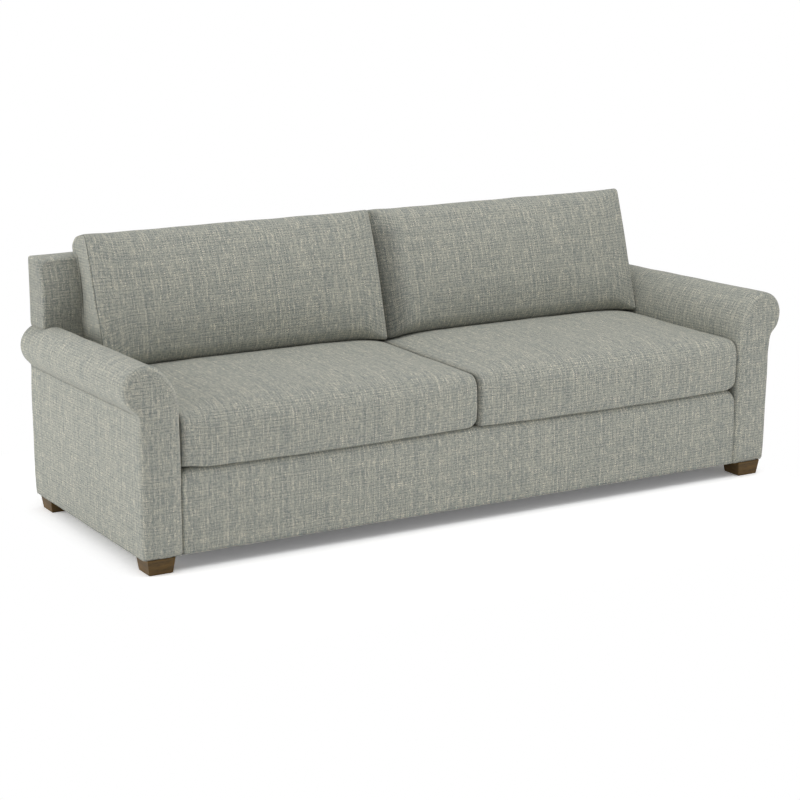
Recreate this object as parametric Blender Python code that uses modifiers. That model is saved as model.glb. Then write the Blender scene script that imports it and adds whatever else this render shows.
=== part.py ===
"""Fabric sofa with rolled arms, two seat cushions and two back cushions.

Metres, +Z up. The origin is on the floor under the middle of the sofa, and the front faces -Y.
Left and right are as seen from the front. Each part is an object of its own: the timber frame,
springs and deck, the padding, the fabric covers, the legs and their bolts, and four loose
cushions that come off, each with its filling, its cover, its zip and the zip's slider.
"""

import math

import bmesh
import bpy
from mathutils import Vector

# Whole sofa
SIDE_HALF = 1.160            # middle to the outside of a side panel
DEPTH = 0.873                # front of the arms to the back panel
LEG_HEIGHT = 0.050           # floor to the underside of the body

# Layers and clearances
FABRIC = 0.002               # upholstery fabric with its backing
GAP = 0.0003                 # between pieces that touch
SEAM_GAP = 0.0008            # between two upholstered faces that meet
SLOPE_GAP = 0.0003           # extra room round a flat board in the sloping roll
BOARD = 0.025                # timber board
PLYWOOD = 0.018
BAND_STEEL = 0.003

# Arms
ARM_WIDTH = 0.129
ARM_EDGE_RADIUS = 0.022      # rounding round the front and back panels
ARM_PADDING = 0.016
ROLL_RADIUS = 0.078
ROLL_OVERHANG = 0.047        # roll beyond the side panel
ROLL_HEIGHT = 0.567          # centre of the roll, at the front
ROLL_RISE = 0.070            # centre to the top of the roll, a little flattened
ROLL_FALL = 0.020            # the roll is lower by this at the back
SHOULDER = 0.137             # height of the curve from the inner face to the top of the roll
SHOULDER_FLATNESS = 1.16     # 1 is an ellipse, more cuts its corner off
ARM_BOARD_SET_BACK = 0.0262  # from the front or back of the arm
ROLL_RAIL_WIDTH = 0.045
ROLL_RAIL_HEIGHT = 0.070
BASE_RAIL_HEIGHT = 0.028

# Back
BACK_TOP = 0.835
BACK_THICKNESS = 0.110       # at the top
BACK_LEAN = math.radians(9.5)
BACK_LEFT_SET_IN = 0.003     # left end of the back inside the side panel
BACK_RIGHT_SET_IN = 0.090    # the right end stops short, over the inner part of the arm
BACK_END_LIFT = 0.003        # each end over the roll under it
BACK_EDGE_RADIUS = 0.018
BACK_CORNER_RADIUS = 0.022
BACK_PADDING = 0.018
WEBBING = 0.003
POST_WIDTH = 0.035
TOP_RAIL_HEIGHT = 0.044
TOP_RAIL_SET_IN = 0.016      # from the cover's rear face and its sides, inside the rounding
LOWER_RAIL_HEIGHT = 0.045
LOWER_RAIL_ABOVE_DECK = 0.047
LOWER_RAIL_DEPTH = 0.032

# Seat box, springs and deck
RAIL_SET_BACK = 0.014        # front rail's fabric behind the front of the arms
RAIL_TOP = 0.309
RAIL_EDGE_RADIUS = 0.020
RAIL_TOP_DEPTH = 0.085       # fabric turned back over the rail
RAIL_PADDING = 0.012
RAIL_BOARD_EASE = 0.007      # chamfer along the board's upper front edge
DECK_TOP = 0.3177
DECK_CLOTH = 0.0015
DECK_PADDING = 0.015
BOX_RAIL_TOP = 0.284         # end rails and back rail
BEAM_TOP = 0.250
SPRING_WIRE = 0.0038
SPRING_WIDTH = 0.046
SPRING_LOOPS = 6
SPRINGS_A_SIDE = 6
SPRING_END = 0.060           # outermost spring to the end of the strip
SPRING_STRIP_HEIGHT = 0.022
STRIP_END = 0.016            # from the strip's ends to the rails beside it
DUST_CLOTH = 0.001
DUST_OVERLAP = 0.012         # dust cloth under the arms
DUST_SET_IN = 0.020

# Legs
LEG_TOP_WIDTH = 0.088
LEG_FOOT_WIDTH = 0.080
LEG_SIDE_SET_IN = 0.013      # leg's top edge from the side panel
LEG_END_SET_IN = 0.008       # leg's top edge from the front or the back
LEG_EDGE_BEVEL = 0.002
BOLT_RADIUS = 0.004
BOLT_CLEARANCE = 0.0003
BOLT_DEPTH_IN_LEG = 0.036
BOLT_ABOVE_RAIL = 0.008

# Seat cushions
SEAT_SIDE_GAP = 0.0016       # to the arm
SEAT_MIDDLE_GAP = 0.0030     # between the two
SEAT_FRONT_SET_BACK = 0.004
SEAT_REAR_GAP = 0.0060       # to the back, room for the zip slider
SEAT_EDGE_THICKNESS = 0.160
SEAT_CROWN = 0.030
SEAT_FRONT_BULGE = 0.008
SEAT_CORE_MARGIN = 0.014
SEAT_CORE_HEIGHT = 0.140
SEAT_CORE_LIFT = 0.0024      # over the cover, so that its edges clear the cover's rounding

# Back cushions
CUSHION_FOOT_REACH = 0.299   # from the rear of the sofa to the cushion's lower front edge
CUSHION_TOP_REACH = 0.165    # and to its upper front edge
CUSHION_FOOT_HEIGHT = 0.4918
CUSHION_FOOT_FALL = 0.016    # the underside is lower at the back
CUSHION_ABOVE_BACK = 0.082
CUSHION_TOP_FALL = 0.016
CUSHION_OVERHANG = 0.042     # over the top of the back
CUSHION_REAR_GAP = 0.0060    # to the back, room for the zip slider
CUSHION_CROWN = 0.042
CUSHION_TOP_SAG = 0.005
CUSHION_CORE_MARGIN = 0.014
CORE_CORNER = 0.036          # cut off the core's lower rear corner
CORE_REAR_GAP = 0.0033       # to the cover's outer rear face

# Cushion covers and zips
COVER = 0.0015
ZIP_LENGTH = 0.840
ZIP_WIDTH = 0.030
ZIP_TAPE = 0.0012
ZIP_EDGE_GAP = 0.0004
ZIP_CUT_DEPTH = 0.006
ZIP_ON_REAR = 0.32           # share of the back cushion's height
SLIDER_WIDTH = 0.009
SLIDER_LENGTH = 0.012
SLIDER_THICKNESS = 0.003
PULL_WIDTH = 0.005
PULL_LENGTH = 0.024
SLIDER_END_MARGIN = 0.012    # from the end of the zip at rest

# Facets
EDGE_STEPS = 2
SHOULDER_STEPS = 5
ROLL_STEPS = 8
CORNER_STEPS = 2
ROUND_SIDES = 12
SEAT_ACROSS = (-0.95, -0.48, 0.0, 0.48, 0.95)
SEAT_ALONG = (-0.90, 0.0, 0.90)
CUSHION_ACROSS = (-0.95, -0.48, 0.0, 0.48, 0.95)
CUSHION_UP = (-0.82, -0.02, 0.88)
MIDDLE_ONLY = (0.0,)

# Places that follow from the sizes
FRONT = -DEPTH / 2
BACK = DEPTH / 2
ARM_INNER = SIDE_HALF - ARM_WIDTH
ROLL_X = SIDE_HALF + ROLL_OVERHANG - ROLL_RADIUS
BODY_FLOOR = LEG_HEIGHT + GAP
BACK_FACE_TOP = BACK - BACK_THICKNESS
CUSHION_TOP_HEIGHT = BACK_TOP + CUSHION_ABOVE_BACK
ARM_BOARD_INSET = FABRIC + SEAM_GAP + ARM_PADDING + GAP + SLOPE_GAP
BACK_INSIDE = ARM_INNER - SEAM_GAP - BACK_EDGE_RADIUS - FABRIC
BACK_STACK = FABRIC + GAP + BACK_PADDING + GAP + WEBBING + GAP
RAIL_FRONT = FRONT + RAIL_SET_BACK
RAIL_BOARD_FRONT = RAIL_FRONT + FABRIC + GAP + RAIL_PADDING + GAP
RAIL_BOARD_BACK = RAIL_BOARD_FRONT + BOARD
RAIL_BOARD_TOP = RAIL_TOP - FABRIC - GAP - RAIL_PADDING - GAP
SEAT_FLOOR = DECK_TOP + GAP
BOX_SIDE = ARM_INNER - SEAM_GAP
DECK_PADDING_TOP = DECK_TOP - DECK_CLOTH - GAP
DECK_PADDING_BOTTOM = DECK_PADDING_TOP - DECK_PADDING


def back_face(height):
    """Y of the front of the back at a height. Below the deck it runs straight down."""
    return BACK_FACE_TOP - (BACK_TOP - max(height, DECK_TOP + GAP)) * math.tan(BACK_LEAN)


BACK_FOOT = back_face(DECK_TOP)
BACK_RAIL_FRONT = BACK_FOOT + FABRIC
BACK_RAIL_BACK = BACK_RAIL_FRONT + BOARD


def roll_fall(y):
    """How much lower the roll is at y than at the front."""
    return ROLL_FALL * (y - FRONT) / DEPTH


def clear_scene():
    for obj in list(bpy.data.objects):
        bpy.data.objects.remove(obj, do_unlink=True)


def new_collection(name):
    made = bpy.data.collections.new(name)
    bpy.context.scene.collection.children.link(made)
    return made


clear_scene()
SOFA = new_collection("rolled_arm_sofa")
CUTTERS = new_collection("cutters")
CUTTERS.hide_render = True


def new_material(name, colour, roughness, metallic=0.0):
    made = bpy.data.materials.new(name)
    made.use_nodes = True
    shader = made.node_tree.nodes["Principled BSDF"]
    shader.inputs["Base Color"].default_value = (*colour, 1.0)
    shader.inputs["Roughness"].default_value = roughness
    shader.inputs["Metallic"].default_value = metallic
    return made


TWEED = new_material("grey_green_tweed", (0.34, 0.37, 0.33), 0.95)
TIMBER = new_material("frame_timber", (0.52, 0.36, 0.20), 0.70)
PLY = new_material("frame_plywood", (0.60, 0.44, 0.27), 0.70)
LEG_WOOD = new_material("brown_stained_wood", (0.10, 0.065, 0.035), 0.45)
FOAM = new_material("foam", (0.85, 0.78, 0.55), 0.95)
FIBRE = new_material("fibre_filling", (0.88, 0.88, 0.86), 0.98)
DECKING = new_material("deck_cloth", (0.30, 0.31, 0.29), 0.95)
BLACK_CLOTH = new_material("dust_cloth", (0.02, 0.02, 0.02), 0.90)
WEB = new_material("webbing", (0.55, 0.47, 0.33), 0.90)
SPRING_STEEL = new_material("spring_steel", (0.35, 0.35, 0.36), 0.35, 1.0)
ZINC = new_material("zinc_plated_steel", (0.62, 0.62, 0.60), 0.30, 1.0)
ZIP_NYLON = new_material("zip_tape", (0.30, 0.32, 0.29), 0.80)


def add_object(name, data, finish, place=(0, 0, 0), parent=None, collection=SOFA):
    """Put a mesh or curve in the scene. place is in world metres, also under a parent."""
    obj = bpy.data.objects.new(name, data)
    collection.objects.link(obj)
    if finish:
        data.materials.append(finish)
    origin = Vector(place)
    if parent:
        obj.parent = parent
        origin -= parent.location
    obj.location = origin
    return obj


def add_cutter(name, data, place=(0, 0, 0)):
    obj = add_object(name, data, None, place, collection=CUTTERS)
    obj.hide_render = True
    obj.display_type = "WIRE"
    return obj


def mesh_from(name, bm):
    data = bpy.data.meshes.new(name)
    bm.to_mesh(data)
    bm.free()
    return data


def box_mesh(name, size):
    bm = bmesh.new()
    bmesh.ops.create_cube(bm, size=1.0)
    bmesh.ops.scale(bm, vec=size, verts=bm.verts)
    return mesh_from(name, bm)


def add_box(name, low, high, finish, parent=None):
    """A board between two corners."""
    size = [b - a for a, b in zip(low, high)]
    middle = [(a + b) / 2 for a, b in zip(low, high)]
    return add_object(name, box_mesh(name, size), finish, middle, parent)


def side_box(name, side, inner, outer, y_range, z_range, finish):
    """A board on one side of the sofa, given by its inner and outer distance from the middle."""
    low_x, high_x = sorted((side * inner, side * outer))
    return add_box(name, (low_x, y_range[0], z_range[0]), (high_x, y_range[1], z_range[1]), finish)


def cylinder_mesh(name, radius, length):
    bm = bmesh.new()
    bmesh.ops.create_cone(
        bm, cap_ends=True, segments=ROUND_SIDES, radius1=radius, radius2=radius, depth=length
    )
    return mesh_from(name, bm)


def outline_curve(name, points, thickness):
    """A flat outline in its own XY plane, as thick as asked."""
    curve = bpy.data.curves.new(name, "CURVE")
    curve.dimensions = "2D"
    curve.fill_mode = "BOTH"
    curve.extrude = thickness / 2
    spline = curve.splines.new("POLY")
    spline.points.add(len(points) - 1)
    for point, (x, y) in zip(spline.points, points):
        point.co = (x, y, 0, 1)
    spline.use_cyclic_u = True
    return curve


def add_upright_board(name, points, middle, thickness, finish):
    """A board from an outline of (x, z) points, standing across the sofa at Y = middle."""
    obj = add_object(name, outline_curve(name, points, thickness), finish, (0, middle, 0))
    obj.rotation_euler = (math.pi / 2, 0, 0)
    return obj


def add_side_board(name, points, middle, thickness, finish, parent=None):
    """A board from an outline of (y, z) points, standing front to back at X = middle."""
    data = outline_curve(name, points, thickness)
    obj = add_object(name, data, finish, (middle, 0, 0), parent)
    obj.rotation_euler = (math.pi / 2, 0, math.pi / 2)
    return obj


def add_modifier(obj, kind, **settings):
    made = obj.modifiers.new(kind.lower(), kind)
    for key, value in settings.items():
        setattr(made, key, value)
    return made


def add_thickness(obj, thickness):
    add_modifier(
        obj, "SOLIDIFY", thickness=thickness, offset=-1.0, use_even_offset=True, use_rim=True
    )


def cut(obj, cutter):
    add_modifier(obj, "BOOLEAN", operation="DIFFERENCE", solver="EXACT", object=cutter)


def skin(bm, rings):
    """Quads between each ring of points and the next, as open strips. Returns the rings' vertices."""
    rows = [[bm.verts.new(point) for point in ring] for ring in rings]
    for row, following in zip(rows, rows[1:]):
        for i in range(len(row) - 1):
            bm.faces.new((row[i], row[i + 1], following[i + 1], following[i]))
    return rows


def edge_stations(front_radius, back_radius):
    """(distance from the front or back plane, drawn-in distance, is_front) round the two edges."""
    turns = [math.pi / 2 * step / EDGE_STEPS for step in range(EDGE_STEPS + 1)]
    front = [(front_radius * (1 - math.sin(t)), front_radius * (1 - math.cos(t)), True) for t in turns]
    back = [(back_radius * (1 - math.sin(t)), back_radius * (1 - math.cos(t)), False) for t in turns]
    return front[::-1] + back


def inset_outline(points, distance):
    """An open outline of (x, z) points with every side moved to its right by the distance."""
    places = [Vector(point) for point in points]
    runs = [(b - a).normalized() for a, b in zip(places, places[1:])]
    rights = [Vector((run.y, -run.x)) for run in runs]
    moved = []
    for place, before, after in zip(places, rights[:1] + rights, rights + rights[-1:]):
        moved.append(place + (before + after) * distance / (1 + before.dot(after)))
    return [tuple(place) for place in moved]


def arm_outline(fall):
    """Arm section as (x, z), from the inner foot over the roll to the outer foot."""
    centre = ROLL_HEIGHT - fall
    curve_start = centre + ROLL_RISE - SHOULDER
    crease = -math.acos((SIDE_HALF - ROLL_X) / ROLL_RADIUS)
    points = [(ARM_INNER, LEG_HEIGHT)]
    for step in range(SHOULDER_STEPS + 1):
        turn = math.pi / 2 * step / SHOULDER_STEPS
        x = ROLL_X - (ROLL_X - ARM_INNER) * abs(math.cos(turn)) ** SHOULDER_FLATNESS
        points.append((x, curve_start + SHOULDER * math.sin(turn) ** SHOULDER_FLATNESS))
    for step in range(1, ROLL_STEPS + 1):
        turn = math.pi / 2 + (crease - math.pi / 2) * step / ROLL_STEPS
        x = ROLL_X + ROLL_RADIUS * math.cos(turn)
        upright = ROLL_RISE if turn > 0 else ROLL_RADIUS
        points.append((x, centre + upright * math.sin(turn)))
    points.append((SIDE_HALF, LEG_HEIGHT))
    return points


def add_arm_shell(name, side, inset, thickness, finish):
    """One layer of an arm: a bag open at the bottom, its outside drawn in by inset."""
    radius = ARM_EDGE_RADIUS - inset
    rings = []
    for along, drawn_in, is_front in edge_stations(radius, radius):
        y = FRONT + inset + along if is_front else BACK - inset - along
        outline = inset_outline(arm_outline(roll_fall(y)), inset + drawn_in)
        rings.append([(side * x, y, z) for x, z in outline])
    bm = bmesh.new()
    rows = skin(bm, rings)
    bm.faces.new(rows[0])
    bm.faces.new(rows[-1])
    bmesh.ops.recalc_face_normals(bm, faces=bm.faces)
    obj = add_object(name, mesh_from(name, bm), finish)
    add_thickness(obj, thickness)
    return obj


def leg_middle(side, end):
    """Centre of a leg: side -1 or 1 for left or right, end -1 or 1 for front or back."""
    x = side * (SIDE_HALF - LEG_SIDE_SET_IN - LEG_TOP_WIDTH / 2)
    return x, end * (BACK - LEG_END_SET_IN - LEG_TOP_WIDTH / 2)


def build_arm(side, label):
    add_arm_shell(f"arm_cover_{label}", side, 0.0, FABRIC, TWEED)
    add_arm_shell(f"arm_padding_{label}", side, FABRIC + SEAM_GAP, ARM_PADDING, FOAM)

    front_middle = FRONT + ARM_BOARD_SET_BACK + PLYWOOD / 2
    for end_name, middle in (("front", front_middle), ("back", -front_middle)):
        outline = inset_outline(arm_outline(roll_fall(middle)), ARM_BOARD_INSET)
        outline = [(side * x, max(z, BODY_FLOOR)) for x, z in outline]
        add_upright_board(f"arm_{end_name}_board_{label}", outline, middle, PLYWOOD, PLY)

    inside = front_middle + PLYWOOD / 2 + GAP
    base = side_box(
        f"arm_base_rail_{label}",
        side,
        ARM_INNER + ARM_BOARD_INSET,
        SIDE_HALF - ARM_BOARD_INSET,
        (inside, -inside),
        (BODY_FLOOR, BODY_FLOOR + BASE_RAIL_HEIGHT),
        TIMBER,
    )
    for end, end_name in ((-1, "front"), (1, "back")):
        hole = cylinder_mesh("bolt_hole", BOLT_RADIUS + BOLT_CLEARANCE, 4 * BASE_RAIL_HEIGHT)
        cutter = add_cutter(
            f"base_hole_{end_name}_{label}", hole, (*leg_middle(side, end), BODY_FLOOR)
        )
        cut(base, cutter)

    rings = []
    for y in (inside, -inside):
        centre = ROLL_HEIGHT - roll_fall(y)
        near, far = ROLL_X - ROLL_RAIL_WIDTH / 2, ROLL_X + ROLL_RAIL_WIDTH / 2
        low, high = centre - ROLL_RAIL_HEIGHT / 2, centre + ROLL_RAIL_HEIGHT / 2
        corners = [(near, low), (far, low), (far, high), (near, high), (near, low)]
        rings.append([(side * x, y, z) for x, z in corners])
    bm = bmesh.new()
    rows = skin(bm, rings)
    bm.faces.new(rows[0][:-1])
    bm.faces.new(rows[-1][:-1])
    bmesh.ops.remove_doubles(bm, verts=bm.verts, dist=GAP / 10)
    bmesh.ops.recalc_face_normals(bm, faces=bm.faces)
    name = f"arm_roll_rail_{label}"
    add_object(name, mesh_from(name, bm), TIMBER)


def back_half_outline(fall, end):
    """Half of the back as (x, z) from its foot, between the arms, over a roll and up its end."""
    arm = inset_outline(arm_outline(fall), -SEAM_GAP)
    half = [arm[0], (arm[0][0], DECK_TOP + GAP)]
    half += [point for point in arm[1 : SHOULDER_STEPS + 2] if point[0] < end - BACK_EDGE_RADIUS]
    over = [low + (high - low) * min(1, (end - near) / (far - near))
            for (near, low), (far, high) in zip(arm[1:], arm[2:]) if near < end and far > near]
    half.append((end, max(over) + BACK_END_LIFT))
    for step in range(CORNER_STEPS + 1):
        turn = math.pi / 2 * step / CORNER_STEPS
        x = end - BACK_CORNER_RADIUS * (1 - math.cos(turn))
        half.append((x, BACK_TOP - BACK_CORNER_RADIUS * (1 - math.sin(turn))))
    return half


def back_outline(fall):
    """The back's outline as (x, z), from the left foot over the top to the right foot."""
    left = back_half_outline(fall, SIDE_HALF - BACK_LEFT_SET_IN)
    right = back_half_outline(fall, SIDE_HALF - BACK_RIGHT_SET_IN)
    return [(-x, z) for x, z in left] + right[::-1]


def build_back_cover():
    rings = []
    for along, drawn_in, is_front in edge_stations(BACK_EDGE_RADIUS, BACK_EDGE_RADIUS):
        full = back_outline(roll_fall(back_face(ROLL_HEIGHT) if is_front else BACK))
        ring = inset_outline(full, drawn_in)
        if is_front:
            ring[:2], ring[-2:] = full[:2], full[-2:]
            rings.append([(x, back_face(z) + along, z) for x, z in ring])
        else:
            rings.append([(x, BACK - along, z) for x, z in ring])
    bm = bmesh.new()
    rows = skin(bm, rings)
    bm.faces.new(rows[0][1:-1])
    bm.faces.new(rows[-1])
    bmesh.ops.recalc_face_normals(bm, faces=bm.faces)
    obj = add_object("back_cover", mesh_from("back_cover", bm), TWEED)
    add_thickness(obj, FABRIC)


def add_leaning_board(name, behind, thickness, half_width, z_range, finish):
    """A board parallel to the front of the back, starting the distance behind it."""
    middle_z = (z_range[0] + z_range[1]) / 2
    length = (z_range[1] - z_range[0]) / math.cos(BACK_LEAN)
    reach = behind + thickness / 2
    place = (
        0,
        back_face(middle_z) + reach * math.cos(BACK_LEAN),
        middle_z - reach * math.sin(BACK_LEAN),
    )
    data = box_mesh(name, (2 * half_width, thickness, length))
    obj = add_object(name, data, finish, place)
    obj.rotation_euler = (-BACK_LEAN, 0, 0)
    return obj


def build_back():
    build_back_cover()
    padding_side = BACK_INSIDE
    padding_foot = DECK_TOP + BACK_EDGE_RADIUS
    padding_top = BACK_TOP - BACK_EDGE_RADIUS
    add_leaning_board(
        "back_padding", FABRIC + GAP, BACK_PADDING, padding_side,
        (padding_foot, padding_top), FOAM,
    )
    post_outer = padding_side
    post_inner = post_outer - POST_WIDTH
    add_leaning_board(
        "back_webbing", FABRIC + 2 * GAP + BACK_PADDING, WEBBING, post_outer - POST_WIDTH / 4,
        (padding_foot, padding_top - TOP_RAIL_HEIGHT), WEB,
    )

    slant = BACK_STACK / math.cos(BACK_LEAN)
    rail_top = BACK_TOP - FABRIC - GAP
    rail_bottom = rail_top - TOP_RAIL_HEIGHT
    rail_left = SIDE_HALF - BACK_LEFT_SET_IN - BACK_CORNER_RADIUS
    rail_right = SIDE_HALF - BACK_RIGHT_SET_IN - BACK_CORNER_RADIUS
    add_box(
        "back_top_rail",
        (-rail_left, back_face(rail_top) + slant, rail_bottom),
        (rail_right, BACK - FABRIC - TOP_RAIL_SET_IN, rail_top),
        TIMBER,
    )

    post_top = rail_bottom - GAP
    post_rear = BACK - FABRIC - SEAM_GAP
    post_foot = BACK_RAIL_BACK + GAP
    knee = BACK_TOP - (BACK_FACE_TOP + slant - post_foot) / math.tan(BACK_LEAN)
    post = [
        (post_foot, BODY_FLOOR),
        (post_foot, knee),
        (back_face(post_top) + slant, post_top),
        (post_rear, post_top),
        (post_rear, BODY_FLOOR),
    ]
    for side, label in ((-1, "left"), (1, "right")):
        middle = side * (post_outer - POST_WIDTH / 2)
        add_side_board(f"back_post_{label}", post, middle, POST_WIDTH, TIMBER)

    lower_foot = DECK_TOP + LOWER_RAIL_ABOVE_DECK
    lower_top = lower_foot + LOWER_RAIL_HEIGHT
    lower_front = back_face(lower_top) + slant
    add_box(
        "back_lower_rail",
        (-post_inner + GAP, lower_front, lower_foot),
        (post_inner - GAP, lower_front + LOWER_RAIL_DEPTH, lower_top),
        TIMBER,
    )
    centre_foot = lower_top + GAP
    centre_post = [
        (back_face(centre_foot) + slant, centre_foot),
        (back_face(post_top) + slant, post_top),
        (post_rear, post_top),
        (post_rear, centre_foot),
    ]
    add_side_board("back_centre_post", centre_post, 0, POST_WIDTH, TIMBER)


def rail_profile(inset):
    """Front rail's upholstered face and turned-back top as (y, z), drawn in by inset."""
    front = RAIL_FRONT + inset
    top = RAIL_TOP - inset
    radius = RAIL_EDGE_RADIUS - inset
    points = [(front, LEG_HEIGHT)]
    for step in range(2 * EDGE_STEPS + 1):
        turn = math.pi / 2 * step / (2 * EDGE_STEPS)
        y = front + radius - radius * math.cos(turn)
        points.append((y, top - radius + radius * math.sin(turn)))
    points.append((RAIL_FRONT + RAIL_TOP_DEPTH, top))
    return points


def add_rail_layer(name, inset, thickness, half_width, finish):
    rings = [[(x, y, z) for y, z in rail_profile(inset)] for x in (half_width, -half_width)]
    bm = bmesh.new()
    skin(bm, rings)
    obj = add_object(name, mesh_from(name, bm), finish)
    add_thickness(obj, thickness)


def build_seat_box():
    add_rail_layer("front_rail_cover", 0.0, FABRIC, BOX_SIDE, TWEED)
    add_rail_layer("front_rail_padding", FABRIC + GAP, RAIL_PADDING, BOX_SIDE, FOAM)
    rail = [
        (RAIL_BOARD_FRONT, BODY_FLOOR),
        (RAIL_BOARD_FRONT, RAIL_BOARD_TOP - RAIL_BOARD_EASE),
        (RAIL_BOARD_FRONT + RAIL_BOARD_EASE, RAIL_BOARD_TOP),
        (RAIL_BOARD_BACK, RAIL_BOARD_TOP),
        (RAIL_BOARD_BACK, BODY_FLOOR),
    ]
    add_side_board("front_rail", rail, 0, 2 * BOX_SIDE, TIMBER)
    back_side = ARM_INNER - SEAM_GAP - FABRIC - GAP
    add_box(
        "back_rail",
        (-back_side, BACK_RAIL_FRONT, BODY_FLOOR),
        (back_side, BACK_RAIL_BACK, BOX_RAIL_TOP),
        TIMBER,
    )
    between = (RAIL_BOARD_BACK + GAP, BACK_FOOT - GAP)
    for side, label in ((-1, "left"), (1, "right")):
        side_box(
            f"seat_end_rail_{label}", side, BOX_SIDE - BOARD, BOX_SIDE,
            between, (BODY_FLOOR, BOX_RAIL_TOP), TIMBER,
        )
    beam = (RAIL_BOARD_BACK + GAP, BACK_RAIL_FRONT - GAP)
    add_box(
        "seat_centre_beam",
        (-BOARD / 2, beam[0], BODY_FLOOR),
        (BOARD / 2, beam[1], BEAM_TOP),
        TIMBER,
    )
    deck = (RAIL_FRONT + RAIL_TOP_DEPTH + SEAM_GAP, BACK_FOOT - SEAM_GAP)
    add_box(
        "deck_padding",
        (-BOX_SIDE, deck[0], DECK_PADDING_BOTTOM),
        (BOX_SIDE, deck[1], DECK_PADDING_TOP),
        FIBRE,
    )
    add_box(
        "deck_cloth",
        (-BOX_SIDE, deck[0], DECK_TOP - DECK_CLOTH),
        (BOX_SIDE, deck[1], DECK_TOP),
        DECKING,
    )
    dust_side = ARM_INNER + DUST_OVERLAP
    add_box(
        "dust_cloth",
        (-dust_side, FRONT + DUST_SET_IN, LEG_HEIGHT - GAP - DUST_CLOTH),
        (dust_side, BACK - DUST_SET_IN, LEG_HEIGHT - GAP),
        BLACK_CLOTH,
    )


def spring_points(x_middle, y_start, y_end):
    """A zigzag spring from front to back, bowed up between its ends."""
    low = BOX_RAIL_TOP - SPRING_STRIP_HEIGHT / 2
    high = DECK_PADDING_BOTTOM - GAP - SPRING_WIRE / 2
    steps = 4 * SPRING_LOOPS
    points = []
    for step in range(steps + 1):
        share = step / steps
        swing = SPRING_WIDTH / 2 if step % 4 in (1, 2) else -SPRING_WIDTH / 2
        bow = 1 - (2 * share - 1) ** 2
        y = y_start + (y_end - y_start) * share
        points.append((x_middle + swing, y, low + (high - low) * bow))
    return points


def wire_mesh(name, points, radius):
    """A bent wire as a mesh, closed at its ends."""
    curve = bpy.data.curves.new(name, "CURVE")
    curve.dimensions = "3D"
    curve.bevel_depth = radius
    curve.bevel_resolution = 0
    curve.use_fill_caps = True
    spline = curve.splines.new("POLY")
    spline.points.add(len(points) - 1)
    for point, place in zip(spline.points, points):
        point.co = (*place, 1)
    wire = add_object(name, curve, None)
    graph = bpy.context.evaluated_depsgraph_get()
    data = bpy.data.meshes.new_from_object(wire.evaluated_get(graph))
    bpy.data.objects.remove(wire, do_unlink=True)
    bm = bmesh.new()
    bm.from_mesh(data)
    bmesh.ops.remove_doubles(bm, verts=bm.verts, dist=GAP / 10)
    return mesh_from(name, bm)


def build_spring_unit(side, label):
    """Zigzag springs hooked into a steel strip on the front rail and one at the back rail."""
    y_front = RAIL_BOARD_BACK + GAP
    y_back = BACK_RAIL_FRONT - GAP
    x_range = (BOARD / 2 + STRIP_END, BOX_SIDE - BOARD - STRIP_END)
    z_range = (BOX_RAIL_TOP - SPRING_STRIP_HEIGHT, BOX_RAIL_TOP)
    name = f"seat_springs_{label}"
    unit = side_box(name, side, *x_range, (y_front, y_front + BAND_STEEL), z_range, SPRING_STEEL)
    rear_size = (x_range[1] - x_range[0], BAND_STEEL, SPRING_STRIP_HEIGHT)
    rear_place = (side * sum(x_range) / 2, y_back - BAND_STEEL / 2, sum(z_range) / 2)
    rear = add_cutter(f"rear_strip_{label}", box_mesh("rear_strip", rear_size), rear_place)
    pieces = []
    pitch = (x_range[1] - x_range[0] - 2 * SPRING_END) / (SPRINGS_A_SIDE - 1)
    for index in range(SPRINGS_A_SIDE):
        x_middle = side * (x_range[0] + SPRING_END + pitch * index)
        points = spring_points(x_middle, y_front + BAND_STEEL / 2, y_back - BAND_STEEL / 2)
        wire_name = f"spring_{index}_{label}"
        pieces.append(add_cutter(wire_name, wire_mesh(wire_name, points, SPRING_WIRE / 2)))
    for piece in (*pieces, rear):
        add_modifier(unit, "BOOLEAN", operation="UNION", solver="EXACT", object=piece)


def build_leg(side, end, label):
    x, y = leg_middle(side, end)
    height = LEG_HEIGHT - GAP
    bm = bmesh.new()
    bmesh.ops.create_cube(bm, size=1.0)
    bmesh.ops.scale(bm, vec=(LEG_TOP_WIDTH, LEG_TOP_WIDTH, height), verts=bm.verts)
    foot = [vert for vert in bm.verts if vert.co.z < 0]
    taper = LEG_FOOT_WIDTH / LEG_TOP_WIDTH
    bmesh.ops.scale(bm, vec=(taper, taper, 1.0), verts=foot)
    name = f"leg_{label}"
    leg = add_object(name, mesh_from(name, bm), LEG_WOOD, (x, y, height / 2))
    add_modifier(leg, "BEVEL", width=LEG_EDGE_BEVEL, segments=1)
    hole_length = 2 * (BOLT_DEPTH_IN_LEG + BOLT_CLEARANCE)
    hole = cylinder_mesh("leg_bolt_hole", BOLT_RADIUS + BOLT_CLEARANCE, hole_length)
    cut(leg, add_cutter(f"leg_hole_{label}", hole, (x, y, height)))
    bolt_foot = height - BOLT_DEPTH_IN_LEG
    bolt_top = BODY_FLOOR + BASE_RAIL_HEIGHT + BOLT_ABOVE_RAIL
    bolt = cylinder_mesh(f"leg_bolt_{label}", BOLT_RADIUS, bolt_top - bolt_foot)
    add_object(f"leg_bolt_{label}", bolt, ZINC, (x, y, (bolt_foot + bolt_top) / 2))


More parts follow.
